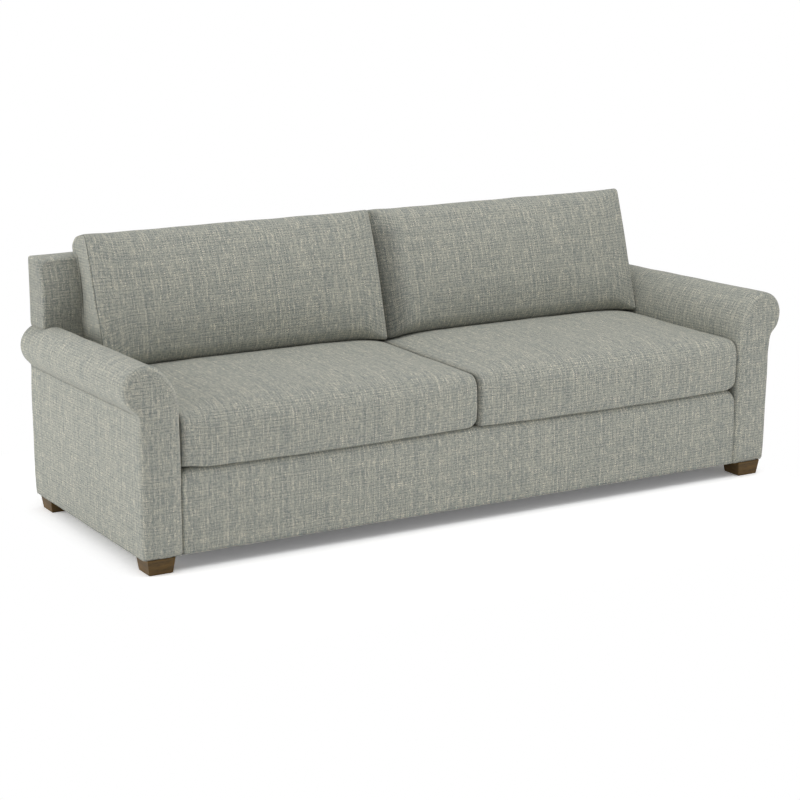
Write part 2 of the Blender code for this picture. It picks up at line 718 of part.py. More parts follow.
def cage_mesh(name, cuts, shape, origin):
    """A cube cut at the given shares along each axis, with shape() placing its corners."""
    bm = bmesh.new()
    bmesh.ops.create_cube(bm, size=2.0)
    for axis, shares in enumerate(cuts):
        normal = [float(axis == i) for i in range(3)]
        for share in shares:
            geometry = bm.verts[:] + bm.edges[:] + bm.faces[:]
            plane = [share * n for n in normal]
            bmesh.ops.bisect_plane(bm, geom=geometry, plane_co=plane, plane_no=normal)
    for vert in bm.verts:
        vert.co = Vector(shape(*vert.co)) - origin
    return mesh_from(name, bm)


def add_cushion_cover(name, cuts, shape, empty, zip_cutter):
    """A closed fabric shell round the filling, with the zip's slot in its rear face."""
    cover = add_object(name, cage_mesh(name, cuts, shape, empty.location), TWEED,
                       empty.location, empty)
    add_modifier(cover, "SUBSURF", levels=1, render_levels=1)
    add_thickness(cover, COVER)
    cut(cover, zip_cutter)
    return cover


def slider_outline():
    """A zip slider with its pull hanging down, as (x, z) about the slider's middle."""
    half, pull = SLIDER_WIDTH / 2, PULL_WIDTH / 2
    top, waist, tip = SLIDER_LENGTH / 2, -SLIDER_LENGTH / 2, -SLIDER_LENGTH / 2 - PULL_LENGTH
    return [(-half, top), (half, top), (half, waist), (pull, waist - pull), (pull, tip + pull),
            (0, tip), (-pull, tip + pull), (-pull, waist - pull), (-half, waist)][::-1]


def build_zip(label, side, middle, lean, empty):
    """Zip tape in the cover's slot and the slider on it. middle is on the cover's outer face."""
    back = Vector((0, math.cos(lean), -math.sin(lean)))
    slot = box_mesh("zip_slot", (ZIP_LENGTH, ZIP_CUT_DEPTH, ZIP_WIDTH))
    cutter = add_cutter(f"zip_slot_{label}", slot, middle)
    cutter.rotation_euler = (-lean, 0, 0)

    tape_size = (ZIP_LENGTH - 2 * ZIP_EDGE_GAP, ZIP_TAPE, ZIP_WIDTH - 2 * ZIP_EDGE_GAP)
    tape = add_object(f"zip_tape_{label}", box_mesh("zip_tape", tape_size), ZIP_NYLON,
                      middle - back * ZIP_TAPE / 2, empty)
    tape.rotation_euler = (-lean, 0, 0)

    axis = bpy.data.objects.new(f"zip_slider_axis_{label}", None)
    SOFA.objects.link(axis)
    reach = ZIP_LENGTH / 2 - SLIDER_END_MARGIN
    axis.parent = empty
    start = middle + Vector((side * reach, 0, 0)) + back * (GAP + SLIDER_THICKNESS / 2)
    axis.location = start - empty.location
    axis.rotation_euler = (-lean, 0, 0)
    slider = add_object(f"zip_slider_{label}",
                        outline_curve("zip_slider", slider_outline(), SLIDER_THICKNESS), ZINC)
    slider.parent = axis
    slider.rotation_euler = (math.pi / 2, 0, 0)
    return cutter


def new_empty(name, place):
    empty = bpy.data.objects.new(name, None)
    SOFA.objects.link(empty)
    empty.location = place
    return empty


def seat_cushion_shape(side):
    """Seat cushion from u, v, w in -1 to 1: across, front to back, and up."""
    inner, outer = SEAT_MIDDLE_GAP / 2, ARM_INNER - SEAT_SIDE_GAP
    front, rear = FRONT + SEAT_FRONT_SET_BACK, BACK_FOOT - SEAT_REAR_GAP

    def shape(u, v, w):
        x = side * (inner + outer) / 2 + (outer - inner) / 2 * u
        y = (front + rear) / 2 + (rear - front) / 2 * v
        if v == -1:
            y += SEAT_FRONT_BULGE * u * u
        z = SEAT_FLOOR + SEAT_EDGE_THICKNESS * (w + 1) / 2
        if w == 1:
            z += SEAT_CROWN * (1 - u**4) * (1 - v**4)
        return x, y, z

    return shape


def build_seat_cushion(side, label):
    shape = seat_cushion_shape(side)
    empty = new_empty(f"seat_cushion_{label}", shape(0, 0, 0))
    zip_middle = Vector(shape(0, 1, 0))
    cutter = build_zip(f"seat_{label}", side, zip_middle, 0.0, empty)
    cuts = (SEAT_ACROSS, SEAT_ALONG, MIDDLE_ONLY)
    add_cushion_cover(f"seat_cushion_cover_{label}", cuts, shape, empty, cutter)

    low = Vector(shape(-1, -1, -1))
    high = Vector(shape(1, 1, -1))
    floor = SEAT_FLOOR + COVER + SEAT_CORE_LIFT
    margin = Vector((SEAT_CORE_MARGIN, SEAT_CORE_MARGIN, 0))
    low, high = low + margin, high - margin
    core = add_box(
        f"seat_cushion_core_{label}",
        (low.x, low.y + SEAT_CORE_MARGIN, floor),
        (high.x, high.y, floor + SEAT_CORE_HEIGHT),
        FOAM,
        empty,
    )
    add_modifier(core, "BEVEL", width=2 * SEAT_CORE_MARGIN, segments=2)


def cushion_rear(height):
    """Y of the back cushion's rear face where it lies along the back."""
    return back_face(height) - CUSHION_REAR_GAP / math.cos(BACK_LEAN)


def cushion_shape(side):
    """Back cushion from u, v, w in -1 to 1: across, front to back, and up."""
    inner, outer = SEAT_MIDDLE_GAP / 2, ARM_INNER - SEAT_SIDE_GAP
    rear_foot = CUSHION_FOOT_HEIGHT - CUSHION_FOOT_FALL
    rear_top = CUSHION_TOP_HEIGHT - CUSHION_TOP_FALL
    leaned = CUSHION_FOOT_REACH - CUSHION_TOP_REACH
    front_lean = math.atan2(leaned, CUSHION_TOP_HEIGHT - CUSHION_FOOT_HEIGHT)

    def shape(u, v, w):
        up = (w + 1) / 2
        x = side * (inner + outer) / 2 + (outer - inner) / 2 * u
        front_y = BACK - CUSHION_FOOT_REACH + leaned * up
        front_z = CUSHION_FOOT_HEIGHT + (CUSHION_TOP_HEIGHT - CUSHION_FOOT_HEIGHT) * up
        rear_z = rear_foot + (rear_top - rear_foot) * up
        rear_y = cushion_rear(rear_z) + (CUSHION_OVERHANG if w == 1 else 0)
        share = (v + 1) / 2
        y = front_y + (rear_y - front_y) * share
        z = front_z + (rear_z - front_z) * share
        if v == -1:
            crown = CUSHION_CROWN * (1 - u**4) * (1 - w**4)
            y -= crown * math.cos(front_lean)
            z += crown * math.sin(front_lean)
        if w == 1:
            z -= CUSHION_TOP_SAG * (1 - u * u)
        return x, y, z

    return shape


def build_back_cushion(side, label):
    shape = cushion_shape(side)
    empty = new_empty(f"back_cushion_{label}", shape(0, 0, 0))
    zip_middle = Vector(shape(0, 1, 2 * ZIP_ON_REAR - 1))
    cutter = build_zip(f"back_{label}", side, zip_middle, BACK_LEAN, empty)
    cuts = (CUSHION_ACROSS, MIDDLE_ONLY, CUSHION_UP)
    add_cushion_cover(f"back_cushion_cover_{label}", cuts, shape, empty, cutter)

    foot = CUSHION_FOOT_HEIGHT + CUSHION_CORE_MARGIN
    top = BACK_TOP - CUSHION_CORE_MARGIN
    front = shape(0, -1, -1)[1] + 2 * CUSHION_CORE_MARGIN
    front_top = shape(1, -1, 1)[1]
    outline = [
        (front, foot),
        (front_top, top),
        (cushion_rear(top) - CORE_REAR_GAP, top),
        (cushion_rear(foot + CORE_CORNER) - CORE_REAR_GAP, foot + CORE_CORNER),
        (cushion_rear(foot) - CORE_CORNER, foot),
    ]
    points = [(y - empty.location.y, z - empty.location.z) for y, z in outline]
    width = abs(shape(1, 0, 0)[0] - shape(-1, 0, 0)[0]) - 4 * CUSHION_CORE_MARGIN
    core = add_object(f"back_cushion_core_{label}",
                      outline_curve("back_cushion_core", points, width), FIBRE,
                      empty.location, empty)
    core.rotation_euler = (math.pi / 2, 0, math.pi / 2)


def build_sofa():
    build_seat_box()
    build_back()
    for side, label in ((-1, "left"), (1, "right")):
        build_arm(side, label)
        build_spring_unit(side, label)
        build_leg(side, -1, f"front_{label}")
        build_leg(side, 1, f"back_{label}")
        build_seat_cushion(side, label)
        build_back_cushion(side, label)


build_sofa()
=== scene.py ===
import math

import bmesh
import bpy
import numpy as np
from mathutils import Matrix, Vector
from mathutils.kdtree import KDTree


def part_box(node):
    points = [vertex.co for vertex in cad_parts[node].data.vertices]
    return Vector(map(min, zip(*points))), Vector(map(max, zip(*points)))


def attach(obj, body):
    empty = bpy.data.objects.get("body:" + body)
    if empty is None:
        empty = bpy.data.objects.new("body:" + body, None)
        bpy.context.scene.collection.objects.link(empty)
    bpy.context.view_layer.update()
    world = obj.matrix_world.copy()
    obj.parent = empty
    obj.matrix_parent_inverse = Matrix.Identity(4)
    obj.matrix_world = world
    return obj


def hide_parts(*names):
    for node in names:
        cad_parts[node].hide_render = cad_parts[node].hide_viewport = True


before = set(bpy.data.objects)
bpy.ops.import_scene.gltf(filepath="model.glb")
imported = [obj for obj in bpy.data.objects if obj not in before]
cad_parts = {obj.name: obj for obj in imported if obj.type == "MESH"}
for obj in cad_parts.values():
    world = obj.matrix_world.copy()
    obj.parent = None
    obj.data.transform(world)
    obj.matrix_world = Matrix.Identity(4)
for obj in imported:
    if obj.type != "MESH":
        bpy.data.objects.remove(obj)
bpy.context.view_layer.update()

# Sizes of the sofa, in metres, as in the part's source
SIDE_HALF = 1.160
DEPTH = 0.873
LEG_HEIGHT = 0.050
UNDERSIDE_SAG = 0.0012
GAP = 0.0003
SEAM_GAP = 0.0008
ARM_WIDTH = 0.129
ARM_EDGE_RADIUS = 0.022
ARM_FLARE = 0.010
ROLL_RADIUS = 0.078
ROLL_OVERHANG = 0.047
ROLL_HEIGHT = 0.567
ROLL_RISE = 0.070
ROLL_FALL = 0.020
SHOULDER = 0.137
SHOULDER_FLATNESS = 1.16
BACK_TOP = 0.8345
BACK_THICKNESS = 0.110
BACK_LEAN = math.radians(9.5)
BACK_RIGHT_SET_IN = 0.090
BACK_END_LIFT = -0.006
BACK_PANEL_RADIUS = 0.012
BACK_CORNER_RADIUS = 0.008
BACK_FRONT_CORNER_RADIUS = 0.036
BACK_SINK = 0.010
BACK_END_SHADE = 0.27
END_TOP_SET_BACK = 0.014
END_FOOT_SET_BACK = 0.026
RAIL_SET_BACK = 0.014
RAIL_TOP = 0.309
RAIL_EDGE_RADIUS = 0.030
RAIL_TOP_DEPTH = 0.085
RAIL_THICKNESS = 0.0143
RAIL_END_RADIUS = 0.009
RAIL_CORNER_RADIUS = 0.030
RAIL_PUFF = 0.005
RAIL_RIGHT_REACH = 0.009
DECK_TOP = 0.3177
DECK_THICKNESS = 0.0168
LEG_TOP_WIDTH = 0.091
LEG_FOOT_WIDTH = 0.077
SEAT_SIDE_GAP = 0.0012
SEAT_MIDDLE_GAP = 0.0030
SEAT_FRONT_SET_BACK = 0.004
SEAT_REAR_GAP = 0.0060
SEAT_EDGE_THICKNESS = 0.160
SEAT_CROWN = 0.030
SEAT_FRONT_BULGE = 0.008
SEAT_FACE_SET_BACK = 0.004
SEAT_FACE_PUFF = 0.006
SEAT_FOOT_DROOP = 0.0075
SEAT_LIP_DROOP = 0.010
SEAT_FOOT_LIFT = 0.70
SEAT_REAR_RISE = 0.010
CUSHION_FOOT_REACH = 0.299
CUSHION_TOP_REACH = 0.165
CUSHION_FOOT_HEIGHT = 0.4918
CUSHION_FOOT_FALL = 0.016
CUSHION_TOP_HEIGHT = 0.917
CUSHION_TOP_FALL = 0.030
CUSHION_OVERHANG = 0.045
CUSHION_REAR_GAP = 0.0060
CUSHION_HALF_DEPTH = 0.056
CUSHION_CROWN = 0.050
CUSHION_BOW = 0.020
CUSHION_SIDE_PUFF = 0.020
CUSHION_FOOT_RAISE = 0.009
CUSHION_TOP_SAG = -0.001

FRONT, BACK = -DEPTH / 2, DEPTH / 2
ARM_INNER = SIDE_HALF - ARM_WIDTH
ROLL_X = SIDE_HALF + ROLL_OVERHANG - ROLL_RADIUS
BACK_FACE_TOP = BACK - BACK_THICKNESS
RAIL_FRONT = FRONT + RAIL_SET_BACK
SEAT_FLOOR = DECK_TOP + GAP
BOX_SIDE = ARM_INNER - SEAM_GAP


def back_face(height):
    """Y of the front of the back at a height."""
    return BACK_FACE_TOP - (BACK_TOP - max(height, SEAT_FLOOR)) * math.tan(BACK_LEAN)


BACK_FOOT = back_face(DECK_TOP)


def roll_fall(y):
    return ROLL_FALL * (y - FRONT) / DEPTH


def smooth(low, high, value):
    t = np.clip((value - low) / (high - low), 0.0, 1.0)
    return t * t * (3 - 2 * t)


def right_flare(y, z):
    """How far the right arm leans out at its front, as the photograph shows."""
    lean = 0.4 + 0.6 * float(smooth(0.05, 0.45, z)) - 0.7 * float(smooth(0.50, 0.60, z))
    return ARM_FLARE * float(smooth(0.15, -0.40, y)) * lean


def end_set_back(x, z):
    """How far the padding over the back's ends lies behind its front, less at the middle of its height."""
    bowed = END_TOP_SET_BACK * float(smooth(0.76, 0.835, z))
    bowed += END_FOOT_SET_BACK * float(smooth(0.72, 0.60, z))
    return bowed * float(smooth(0.97, 1.05, abs(x)))


# Materials

class Nodes:
    """Short calls for building the node tree of a material or of the world."""

    def __init__(self, owner):
        owner.use_nodes = True
        self.owner = owner
        self.tree = owner.node_tree
        self.shader = self.tree.nodes.get("Principled BSDF")

    def put(self, target, value):
        if isinstance(value, bpy.types.NodeSocket):
            self.tree.links.new(value, target)
        elif isinstance(value, (tuple, list)) and len(value) == 3 and target.type == "RGBA":
            target.default_value = (*value, 1.0)
        else:
            target.default_value = value

    def node(self, kind, inputs=(), **settings):
        made = self.tree.nodes.new(kind)
        for key, value in settings.items():
            setattr(made, key, value)
        for key, value in dict(inputs).items():
            self.put(made.inputs[key], value)
        return made

    def math(self, operation, a, b=0.0, c=0.0):
        return self.node("ShaderNodeMath", {0: a, 1: b, 2: c}, operation=operation).outputs[0]

    def vector(self, operation, a, b):
        return self.node("ShaderNodeVectorMath", {0: a, 1: b}, operation=operation).outputs[0]

    def mix(self, factor, a, b, blend="MIX"):
        return self.node("ShaderNodeMix", {0: factor, 6: a, 7: b},
                         data_type="RGBA", blend_type=blend).outputs[2]

    def ramp(self, value, stops):
        made = self.node("ShaderNodeValToRGB", {0: value})
        while len(made.color_ramp.elements) < len(stops):
            made.color_ramp.elements.new(0.5)
        for element, (place, colour) in zip(made.color_ramp.elements, stops):
            element.position = place
            element.color = (*colour, 1.0)
        return made.outputs[0]

    def noise(self, vector, scale, detail=2.0, roughness=0.5):
        return self.node("ShaderNodeTexNoise", {
            "Vector": vector, "Scale": scale, "Detail": detail, "Roughness": roughness,
        }).outputs[0]

    def place(self):
        return self.node("ShaderNodeTexCoord").outputs["Object"]

    def join(self, x, y, z=0.0):
        return self.node("ShaderNodeCombineXYZ", {0: x, 1: y, 2: z}).outputs[0]

    def random(self, value, seed):
        """A random number for each whole number."""
        return self.node("ShaderNodeTexWhiteNoise", {"Vector": self.join(value, seed)},
                         noise_dimensions="2D").outputs["Value"]

    def finish(self, colour, surface, height, strength, distance):
        """Base colour, settings that are the same all over, and bump. Gives the material."""
        for name, value in {"Base Color": colour, **surface}.items():
            self.put(self.shader.inputs[name], value)
        bump = self.node("ShaderNodeBump", {"Height": height, "Strength": strength, "Distance": distance})
        self.put(self.shader.inputs["Normal"], bump.outputs[0])
        return self.owner


# The weave: yarns' widths, the slow change of tone over a hand's breadth, and how far yarns wander
WARP_PITCH = 0.0028
WEFT_PITCH = 0.0033
CLOUD_SPREAD = 0.13
CLOUD_MIDDLE = 0.445
YARN_WANDER = 0.006
# How much the mesh's darkening mark darkens the cloth: the seams' own dark lines, and painted shade in
# creases and at shaded ends
SEAM_AND_PAINTED_SHADE_DARKENING = 0.62
# How much yarns, their mottling, specks and pale slubs differ, and how many there are to a metre
WARP_YARN = {"spreads": (0.28, 0.70, 1.24, 0.40), "rates": (37.0, 340.0), "repeat": 6.0, "accent": 0.14}
WEFT_YARN = {"spreads": (0.14, 0.72, 1.20, 0.05), "rates": (68.0, 440.0), "repeat": 3.0, "accent": -0.28}
WARP_COLOURS = (
    (0.00, (0.165, 0.183, 0.178)), (0.36, (0.325, 0.340, 0.305)), (0.62, (0.500, 0.484, 0.402)),
    (1.00, (0.860, 0.810, 0.650)),
)
WEFT_COLOURS = (
    (0.00, (0.140, 0.168, 0.172)), (0.36, (0.312, 0.336, 0.315)), (0.62, (0.476, 0.474, 0.406)),
    (1.00, (0.760, 0.740, 0.620)),
)


def yarn_tone(n, yarn, along, seed, spreads, rates, repeat, accent):
    """Tone of each yarn: its own, its mottling, slubs and specks, and an accent on every few."""
    own, mottle, speck, slub = spreads
    row = n.math("MULTIPLY", yarn, 3.71)
    tone = n.math("MULTIPLY_ADD", n.random(yarn, seed), own, -own / 2)
    long_noise = n.noise(n.join(row, n.math("MULTIPLY", along, rates[0]), seed), 1.0, 2.0, 0.5)
    tone = n.math("ADD", tone, n.math("MULTIPLY_ADD", long_noise, mottle, -mottle / 2))
    pale = n.math("POWER", n.math("MULTIPLY", long_noise, 1.45), 7.0)
    tone = n.math("MULTIPLY_ADD", n.math("MINIMUM", pale, 1.5), slub, tone)
    short_noise = n.noise(n.join(row, n.math("MULTIPLY", along, rates[1]), seed + 20.0), 1.0, 1.0, 0.5)
    tone = n.math("ADD", tone, n.math("MULTIPLY_ADD", short_noise, speck, -speck / 2))
    first = n.math("LESS_THAN", n.math("FLOORED_MODULO", yarn, repeat), 0.5)
    return n.math("MULTIPLY_ADD", first, accent, tone)


def tweed_material():
    """Coarse plain weave of mottled yarns with slubs. It reads the map named weave, in metres."""
    n = Nodes(bpy.data.materials.new("woven_tweed"))
    place = n.node("ShaderNodeUVMap", uv_map="weave").outputs[0]
    drift = n.node("ShaderNodeTexNoise", {"Vector": place, "Scale": 9.0, "Detail": 2.0})
    centred = n.vector("SUBTRACT", drift.outputs["Color"], (0.5, 0.5, 0.5))
    wander = n.vector("MULTIPLY", centred, (YARN_WANDER, YARN_WANDER, 0.0))
    split = n.node("ShaderNodeSeparateXYZ", {0: n.vector("ADD", place, wander)})
    u, v = split.outputs[0], split.outputs[1]

    across = n.math("DIVIDE", u, WARP_PITCH)
    along = n.math("DIVIDE", v, WEFT_PITCH)
    warp, weft = n.math("FLOOR", across), n.math("FLOOR", along)
    in_warp, in_weft = n.math("FRACT", across), n.math("FRACT", along)
    over = n.math("PINGPONG", n.math("ADD", warp, weft), 1.0)
    warp_round = n.math("SINE", n.math("MULTIPLY", in_warp, math.pi))
    weft_round = n.math("SINE", n.math("MULTIPLY", in_weft, math.pi))

    clouds = n.math("MULTIPLY_ADD", n.noise(place, 16.0, 3.0, 0.6), CLOUD_SPREAD,
                    CLOUD_MIDDLE - CLOUD_SPREAD / 2)
    warp_tone = n.math("ADD", clouds, yarn_tone(n, warp, v, 3.0, **WARP_YARN))
    weft_tone = n.math("ADD", clouds, yarn_tone(n, weft, u, 11.0, **WEFT_YARN))
    colour = n.mix(over, n.ramp(weft_tone, WEFT_COLOURS), n.ramp(warp_tone, WARP_COLOURS))

    under = n.math("SUBTRACT", 1.0, over)
    top_round, side_round = [
        n.math("ADD", n.math("MULTIPLY", over, a), n.math("MULTIPLY", under, b))
        for a, b in ((warp_round, weft_round), (weft_round, warp_round))
    ]
    height = n.math("MULTIPLY", n.math("POWER", top_round, 0.6),
                    n.math("MULTIPLY_ADD", side_round, 0.45, 0.55))
    height = n.math("MULTIPLY_ADD", n.noise(place, 1400.0, 2.0, 0.6), 0.25, height)
    # Painted shade: darker where yarns lie low, and darker where the mesh marks seams and painted shade
    shadow = n.math("MULTIPLY_ADD", n.node("ShaderNodeClamp", {0: height}).outputs[0], 0.40, 0.69)
    seam_and_painted_shade = n.node("ShaderNodeAttribute", attribute_name="seam_and_painted_shade").outputs["Fac"]
    light = n.math("MULTIPLY", shadow, n.math("MULTIPLY_ADD", seam_and_painted_shade, -SEAM_AND_PAINTED_SHADE_DARKENING, 1.0))
    surface = {"Roughness": 0.92, "Specular IOR Level": 0.25, "Sheen Weight": 0.12, "Sheen Roughness": 0.5}
    lit = n.mix(1.0, colour, n.join(light, light, light), "MULTIPLY")
    return n.finish(lit, surface, height, 0.5, 0.0009)


def wood_material(name, dark, light, roughness, grain=(60.0, 60.0, 3.0), coat=0.0):
    """Wood with bands and pores. grain is how many of them there are to a metre along each axis."""
    n = Nodes(bpy.data.materials.new(name))
    place = n.place()
    stretched = n.vector("MULTIPLY", place, grain)
    bands = n.noise(stretched, 1.0, 4.0, 0.6)
    pores = n.noise(n.vector("MULTIPLY", stretched, (6.0, 6.0, 3.0)), 1.0, 3.0, 0.7)
    tone = n.math("MULTIPLY_ADD", pores, 0.45, n.math("MULTIPLY", bands, 0.75))
    surface = {"Roughness": n.math("MULTIPLY_ADD", pores, 0.2, roughness - 0.1),
               "Coat Weight": coat, "Specular IOR Level": 0.3}
    return n.finish(n.ramp(tone, ((0.38, dark), (0.82, light))), surface, tone, 0.25, 0.0006)


def cloth_material(name, dark, light, pitch, roughness=0.95):
    """A fine plain cloth of one colour."""
    n = Nodes(bpy.data.materials.new(name))
    place = n.place()
    split = n.node("ShaderNodeSeparateXYZ", {0: place})
    threads = [n.math("SINE", n.math("MULTIPLY", split.outputs[axis], 2 * math.pi / pitch))
               for axis in (0, 1, 2)]
    weave = n.math("ADD", n.math("MULTIPLY", threads[0], threads[1]), threads[2])
    mottle = n.noise(place, 120.0, 4.0, 0.6)
    tone = n.math("MULTIPLY_ADD", weave, 0.10, mottle)
    surface = {"Roughness": roughness, "Specular IOR Level": 0.2}
    return n.finish(n.ramp(tone, ((0.30, dark), (0.72, light))), surface, tone, 0.4, 0.0005)


def metal_material(name, dark, light, roughness):
    """Bare metal with faint spots."""
    n = Nodes(bpy.data.materials.new(name))
    spots = n.noise(n.place(), 260.0, 4.0, 0.65)
    surface = {"Roughness": n.math("MULTIPLY_ADD", spots, 0.25, roughness - 0.12), "Metallic": 1.0}
    return n.finish(n.ramp(spots, ((0.35, dark), (0.70, light))), surface, spots, 0.12, 0.0002)


TWEED = tweed_material()
LEG_WOOD = wood_material("stained_wood", (0.042, 0.023, 0.0035), (0.152, 0.084, 0.018), 0.55,
                         grain=(14.0, 14.0, 90.0), coat=0.04)
TIMBER = wood_material("sawn_timber", (0.42, 0.28, 0.15), (0.66, 0.50, 0.31), 0.75)
PLY = wood_material("plywood_board", (0.50, 0.35, 0.20), (0.72, 0.56, 0.37), 0.72)
DECK_CLOTH = cloth_material("deck_twill", (0.21, 0.22, 0.205), (0.37, 0.38, 0.355), 0.0022)
DUST_CLOTH = cloth_material("black_dust_cloth", (0.010, 0.010, 0.011), (0.045, 0.045, 0.047), 0.0016)
ZIP_TAPE = cloth_material("zip_tape_weave", (0.23, 0.245, 0.22), (0.36, 0.37, 0.33), 0.0012)
NYLON = cloth_material("zip_coil", (0.20, 0.21, 0.19), (0.30, 0.31, 0.28), 0.0030, 0.55)
STEEL = metal_material("spring_steel_wire", (0.22, 0.22, 0.23), (0.42, 0.42, 0.43), 0.42)
ZINC = metal_material("zinc_plate", (0.50, 0.50, 0.48), (0.72, 0.72, 0.70), 0.36)


# Meshes

def add_object(name, data):
    made = bpy.data.objects.new(name, data)
    bpy.context.scene.collection.objects.link(made)
    return made


def mesh_object(name, points, faces, material, rounded=True):
    mesh = bpy.data.meshes.new(name)
    mesh.from_pydata([tuple(p) for p in points], [], faces)
    mesh.polygons.foreach_set("use_smooth", [rounded] * len(mesh.polygons))
    mesh.materials.append(material)
    return add_object(name, mesh)


def turn_outwards(mesh):
    """Turns every face of a closed mesh to its outside."""
    bm = bmesh.new()
    bm.from_mesh(mesh)
    bmesh.ops.recalc_face_normals(bm, faces=bm.faces)
    bm.to_mesh(mesh)
    bm.free()


def tie(piece, body, slot, *nodes):
    """Makes a piece ride on its body and stand for solids, whose nodes it hides. slot is not used."""
    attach(piece, body)
    if nodes:
        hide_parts(*nodes)


def lengths(points, closed=False):
    """Distance along a path of points, starting at 0, and back to the first point if it is closed."""
    if closed:
        points = np.vstack([points, points[:1]])
    steps = np.linalg.norm(np.diff(points, axis=0), axis=1)
    return np.concatenate([[0.0], np.cumsum(steps)])


def run(start, end, count, last=False):
    """count points from start towards end, and end itself if it is the last."""
    start, end = np.array(start, float), np.array(end, float)
    shares = np.arange(count + (1 if last else 0)) / count
    return [tuple(start + (end - start) * share) for share in shares]


def inset_loop(points, distance):
    """A closed outline with every side moved inwards. It runs clockwise as (x, z)."""
    places = np.array(points, float)
    before = places - np.roll(places, 1, axis=0)
    after = np.roll(places, -1, axis=0) - places
    before /= np.linalg.norm(before, axis=1)[:, None]
    after /= np.linalg.norm(after, axis=1)[:, None]
    right_before = np.stack([before[:, 1], -before[:, 0]], 1)
    right_after = np.stack([after[:, 1], -after[:, 0]], 1)
    turn = 1 + (right_before * right_after).sum(1)
    return places + (right_before + right_after) * (distance / turn)[:, None]


def block(name, rings, material, rungs, cap_uv, skin_uv=None, dome=(0.0, 0.0), seam_and_painted_shade=None):
    """A closed body from closed rings of points, the same number in each.
    Each end is closed by rungs that join point i of its ring to point n - i.
    skin_uv is (distance along, distance round), and cap_uv turns a point into a place on the cloth."""
    rings = np.array(rings, float)
    count, size = rings.shape[:2]
    points = list(rings.reshape(-1, 3))
    faces, corners = [], []
    half = size // 2

    for s in range(count - 1):
        for j in range(size):
            k = (j + 1) % size
            quad = (s * size + j, s * size + k, (s + 1) * size + k, (s + 1) * size + j)
            faces.append(quad)
            if skin_uv is None:
                corners.append(box_uv([points[i] for i in quad]))
            else:
                along, round_ = skin_uv
                places = ((s, j), (s, j + 1), (s + 1, j + 1), (s + 1, j))
                corners.append([(along[a], round_[b]) for a, b in places])

    for s, inner, depth in ((0, 1, dome[0]), (count - 1, count - 2, dome[1])):
        ring = rings[s]
        outward = ring.mean(0) - rings[inner].mean(0)
        outward /= np.linalg.norm(outward)
        rows = [[s * size] * (rungs + 1)]
        for i in range(1, half):
            first = len(points)
            rise = depth * math.sin(math.pi * i / half) ** 0.5
            for step in range(1, rungs):
                share = step / rungs
                puff = rise * (1 - (2 * share - 1) ** 4)
                points.append(ring[i] * (1 - share) + ring[size - i] * share + outward * puff)
            rows.append([s * size + i, *range(first, len(points)), s * size + size - i])
        rows.append([s * size + half] * (rungs + 1))
        for row, following in zip(rows, rows[1:]):
            for k in range(rungs):
                quad = tuple(dict.fromkeys((row[k], row[k + 1], following[k + 1], following[k])))
                faces.append(quad)
                corners.append([cap_uv(points[q]) for q in quad])

    made = mesh_object(name, points, faces, material)
    layer = made.data.uv_layers.new(name="weave")
    layer.uv.foreach_set("vector", np.array([c for face in corners for c in face]).ravel())
    # Darkening mark for the cloth: the seams' own dark lines, and painted shade in creases and at shaded
    # ends
    weight = made.data.attributes.new("seam_and_painted_shade", "FLOAT", "POINT")
    values = np.zeros(len(points))
    if seam_and_painted_shade is not None:
        values[: count * size] = np.array(seam_and_painted_shade, float).ravel()
    weight.data.foreach_set("value", values)
    turn_outwards(made.data)
    return made


def box_uv(places):
    """Cloth laid flat on the side that a face turns to, with its threads upright."""
    a, b, c, d = [np.array(p) for p in places]
    normal = np.abs(np.cross(c - a, d - b))
    if normal[0] >= max(normal[1], normal[2]):
        return tuple((p[1], p[2]) for p in places)
    if normal[1] >= normal[2]:
        return tuple((p[0], p[2]) for p in places)
    return tuple((p[0], p[1] + 0.6) for p in places)


def side_uv(point):
    return point[1], point[2]


def front_uv(point):
    return point[0], point[2]


def coordinates(mesh, name="co"):
    """The mesh's points, or their normals by the name normal."""
    found = np.zeros(len(mesh.vertices) * 3)
    mesh.vertices.foreach_get(name, found)
    return found.reshape(-1, 3)


def set_coordinates(mesh, places):
    mesh.vertices.foreach_set("co", places.ravel())
    mesh.update()


WAVES = (
    (11.0, 17.0, 23.0, 0.3), (29.0, -13.0, 19.0, 1.7), (-21.0, 31.0, 9.0, 4.1), (43.0, 37.0, -29.0, 2.9),
)


def soften(obj, amount, rear=None):
    """Slight unevenness of stuffed cloth, but none near a flat rear with a zip."""
    mesh = obj.data
    places = coordinates(mesh)
    rise = sum(np.sin(places @ np.array(wave[:3]) + wave[3]) for wave in WAVES) / len(WAVES)
    if rear is not None:
        rise *= smooth(*LOOSENING, np.array([rear(z) - y for _, y, z in places]))
    set_coordinates(mesh, places + coordinates(mesh, "normal") * (amount * rise)[:, None])


def cover_underside(obj):
    """Lays the cloth on the underside flat, just below the timber."""
    places = coordinates(obj.data)
    places[places[:, 2] < LEG_HEIGHT + 0.003, 2] = LEG_HEIGHT - UNDERSIDE_SAG
    set_coordinates(obj.data, places)


def subdivide(obj):
    """Subdivides the mesh once, for good."""
    smoothing = obj.modifiers.new("subsurf", "SUBSURF")
    smoothing.levels = smoothing.render_levels = 1
    graph = bpy.context.evaluated_depsgraph_get()
    made = bpy.data.meshes.new_from_object(obj.evaluated_get(graph), preserve_all_data_layers=True,
                                           depsgraph=graph)
    obj.modifiers.clear()
    obj.data = made


def turns(steps):
    return [math.pi / 2 * step / steps for step in range(steps + 1)]


def rounded_edge(radius, steps):
    """Steps over a round edge: how far each lies from the side, and how far from the end."""
    return [(radius * (1 - math.cos(t)), radius * (1 - math.sin(t))) for t in turns(steps)]


def drawn_in(distance, radius):
    """How far a round edge of that radius is drawn in at a distance from the end of a body."""
    left = radius - min(distance, radius)
    return radius - math.sqrt(max(radius * radius - left * left, 0.0))


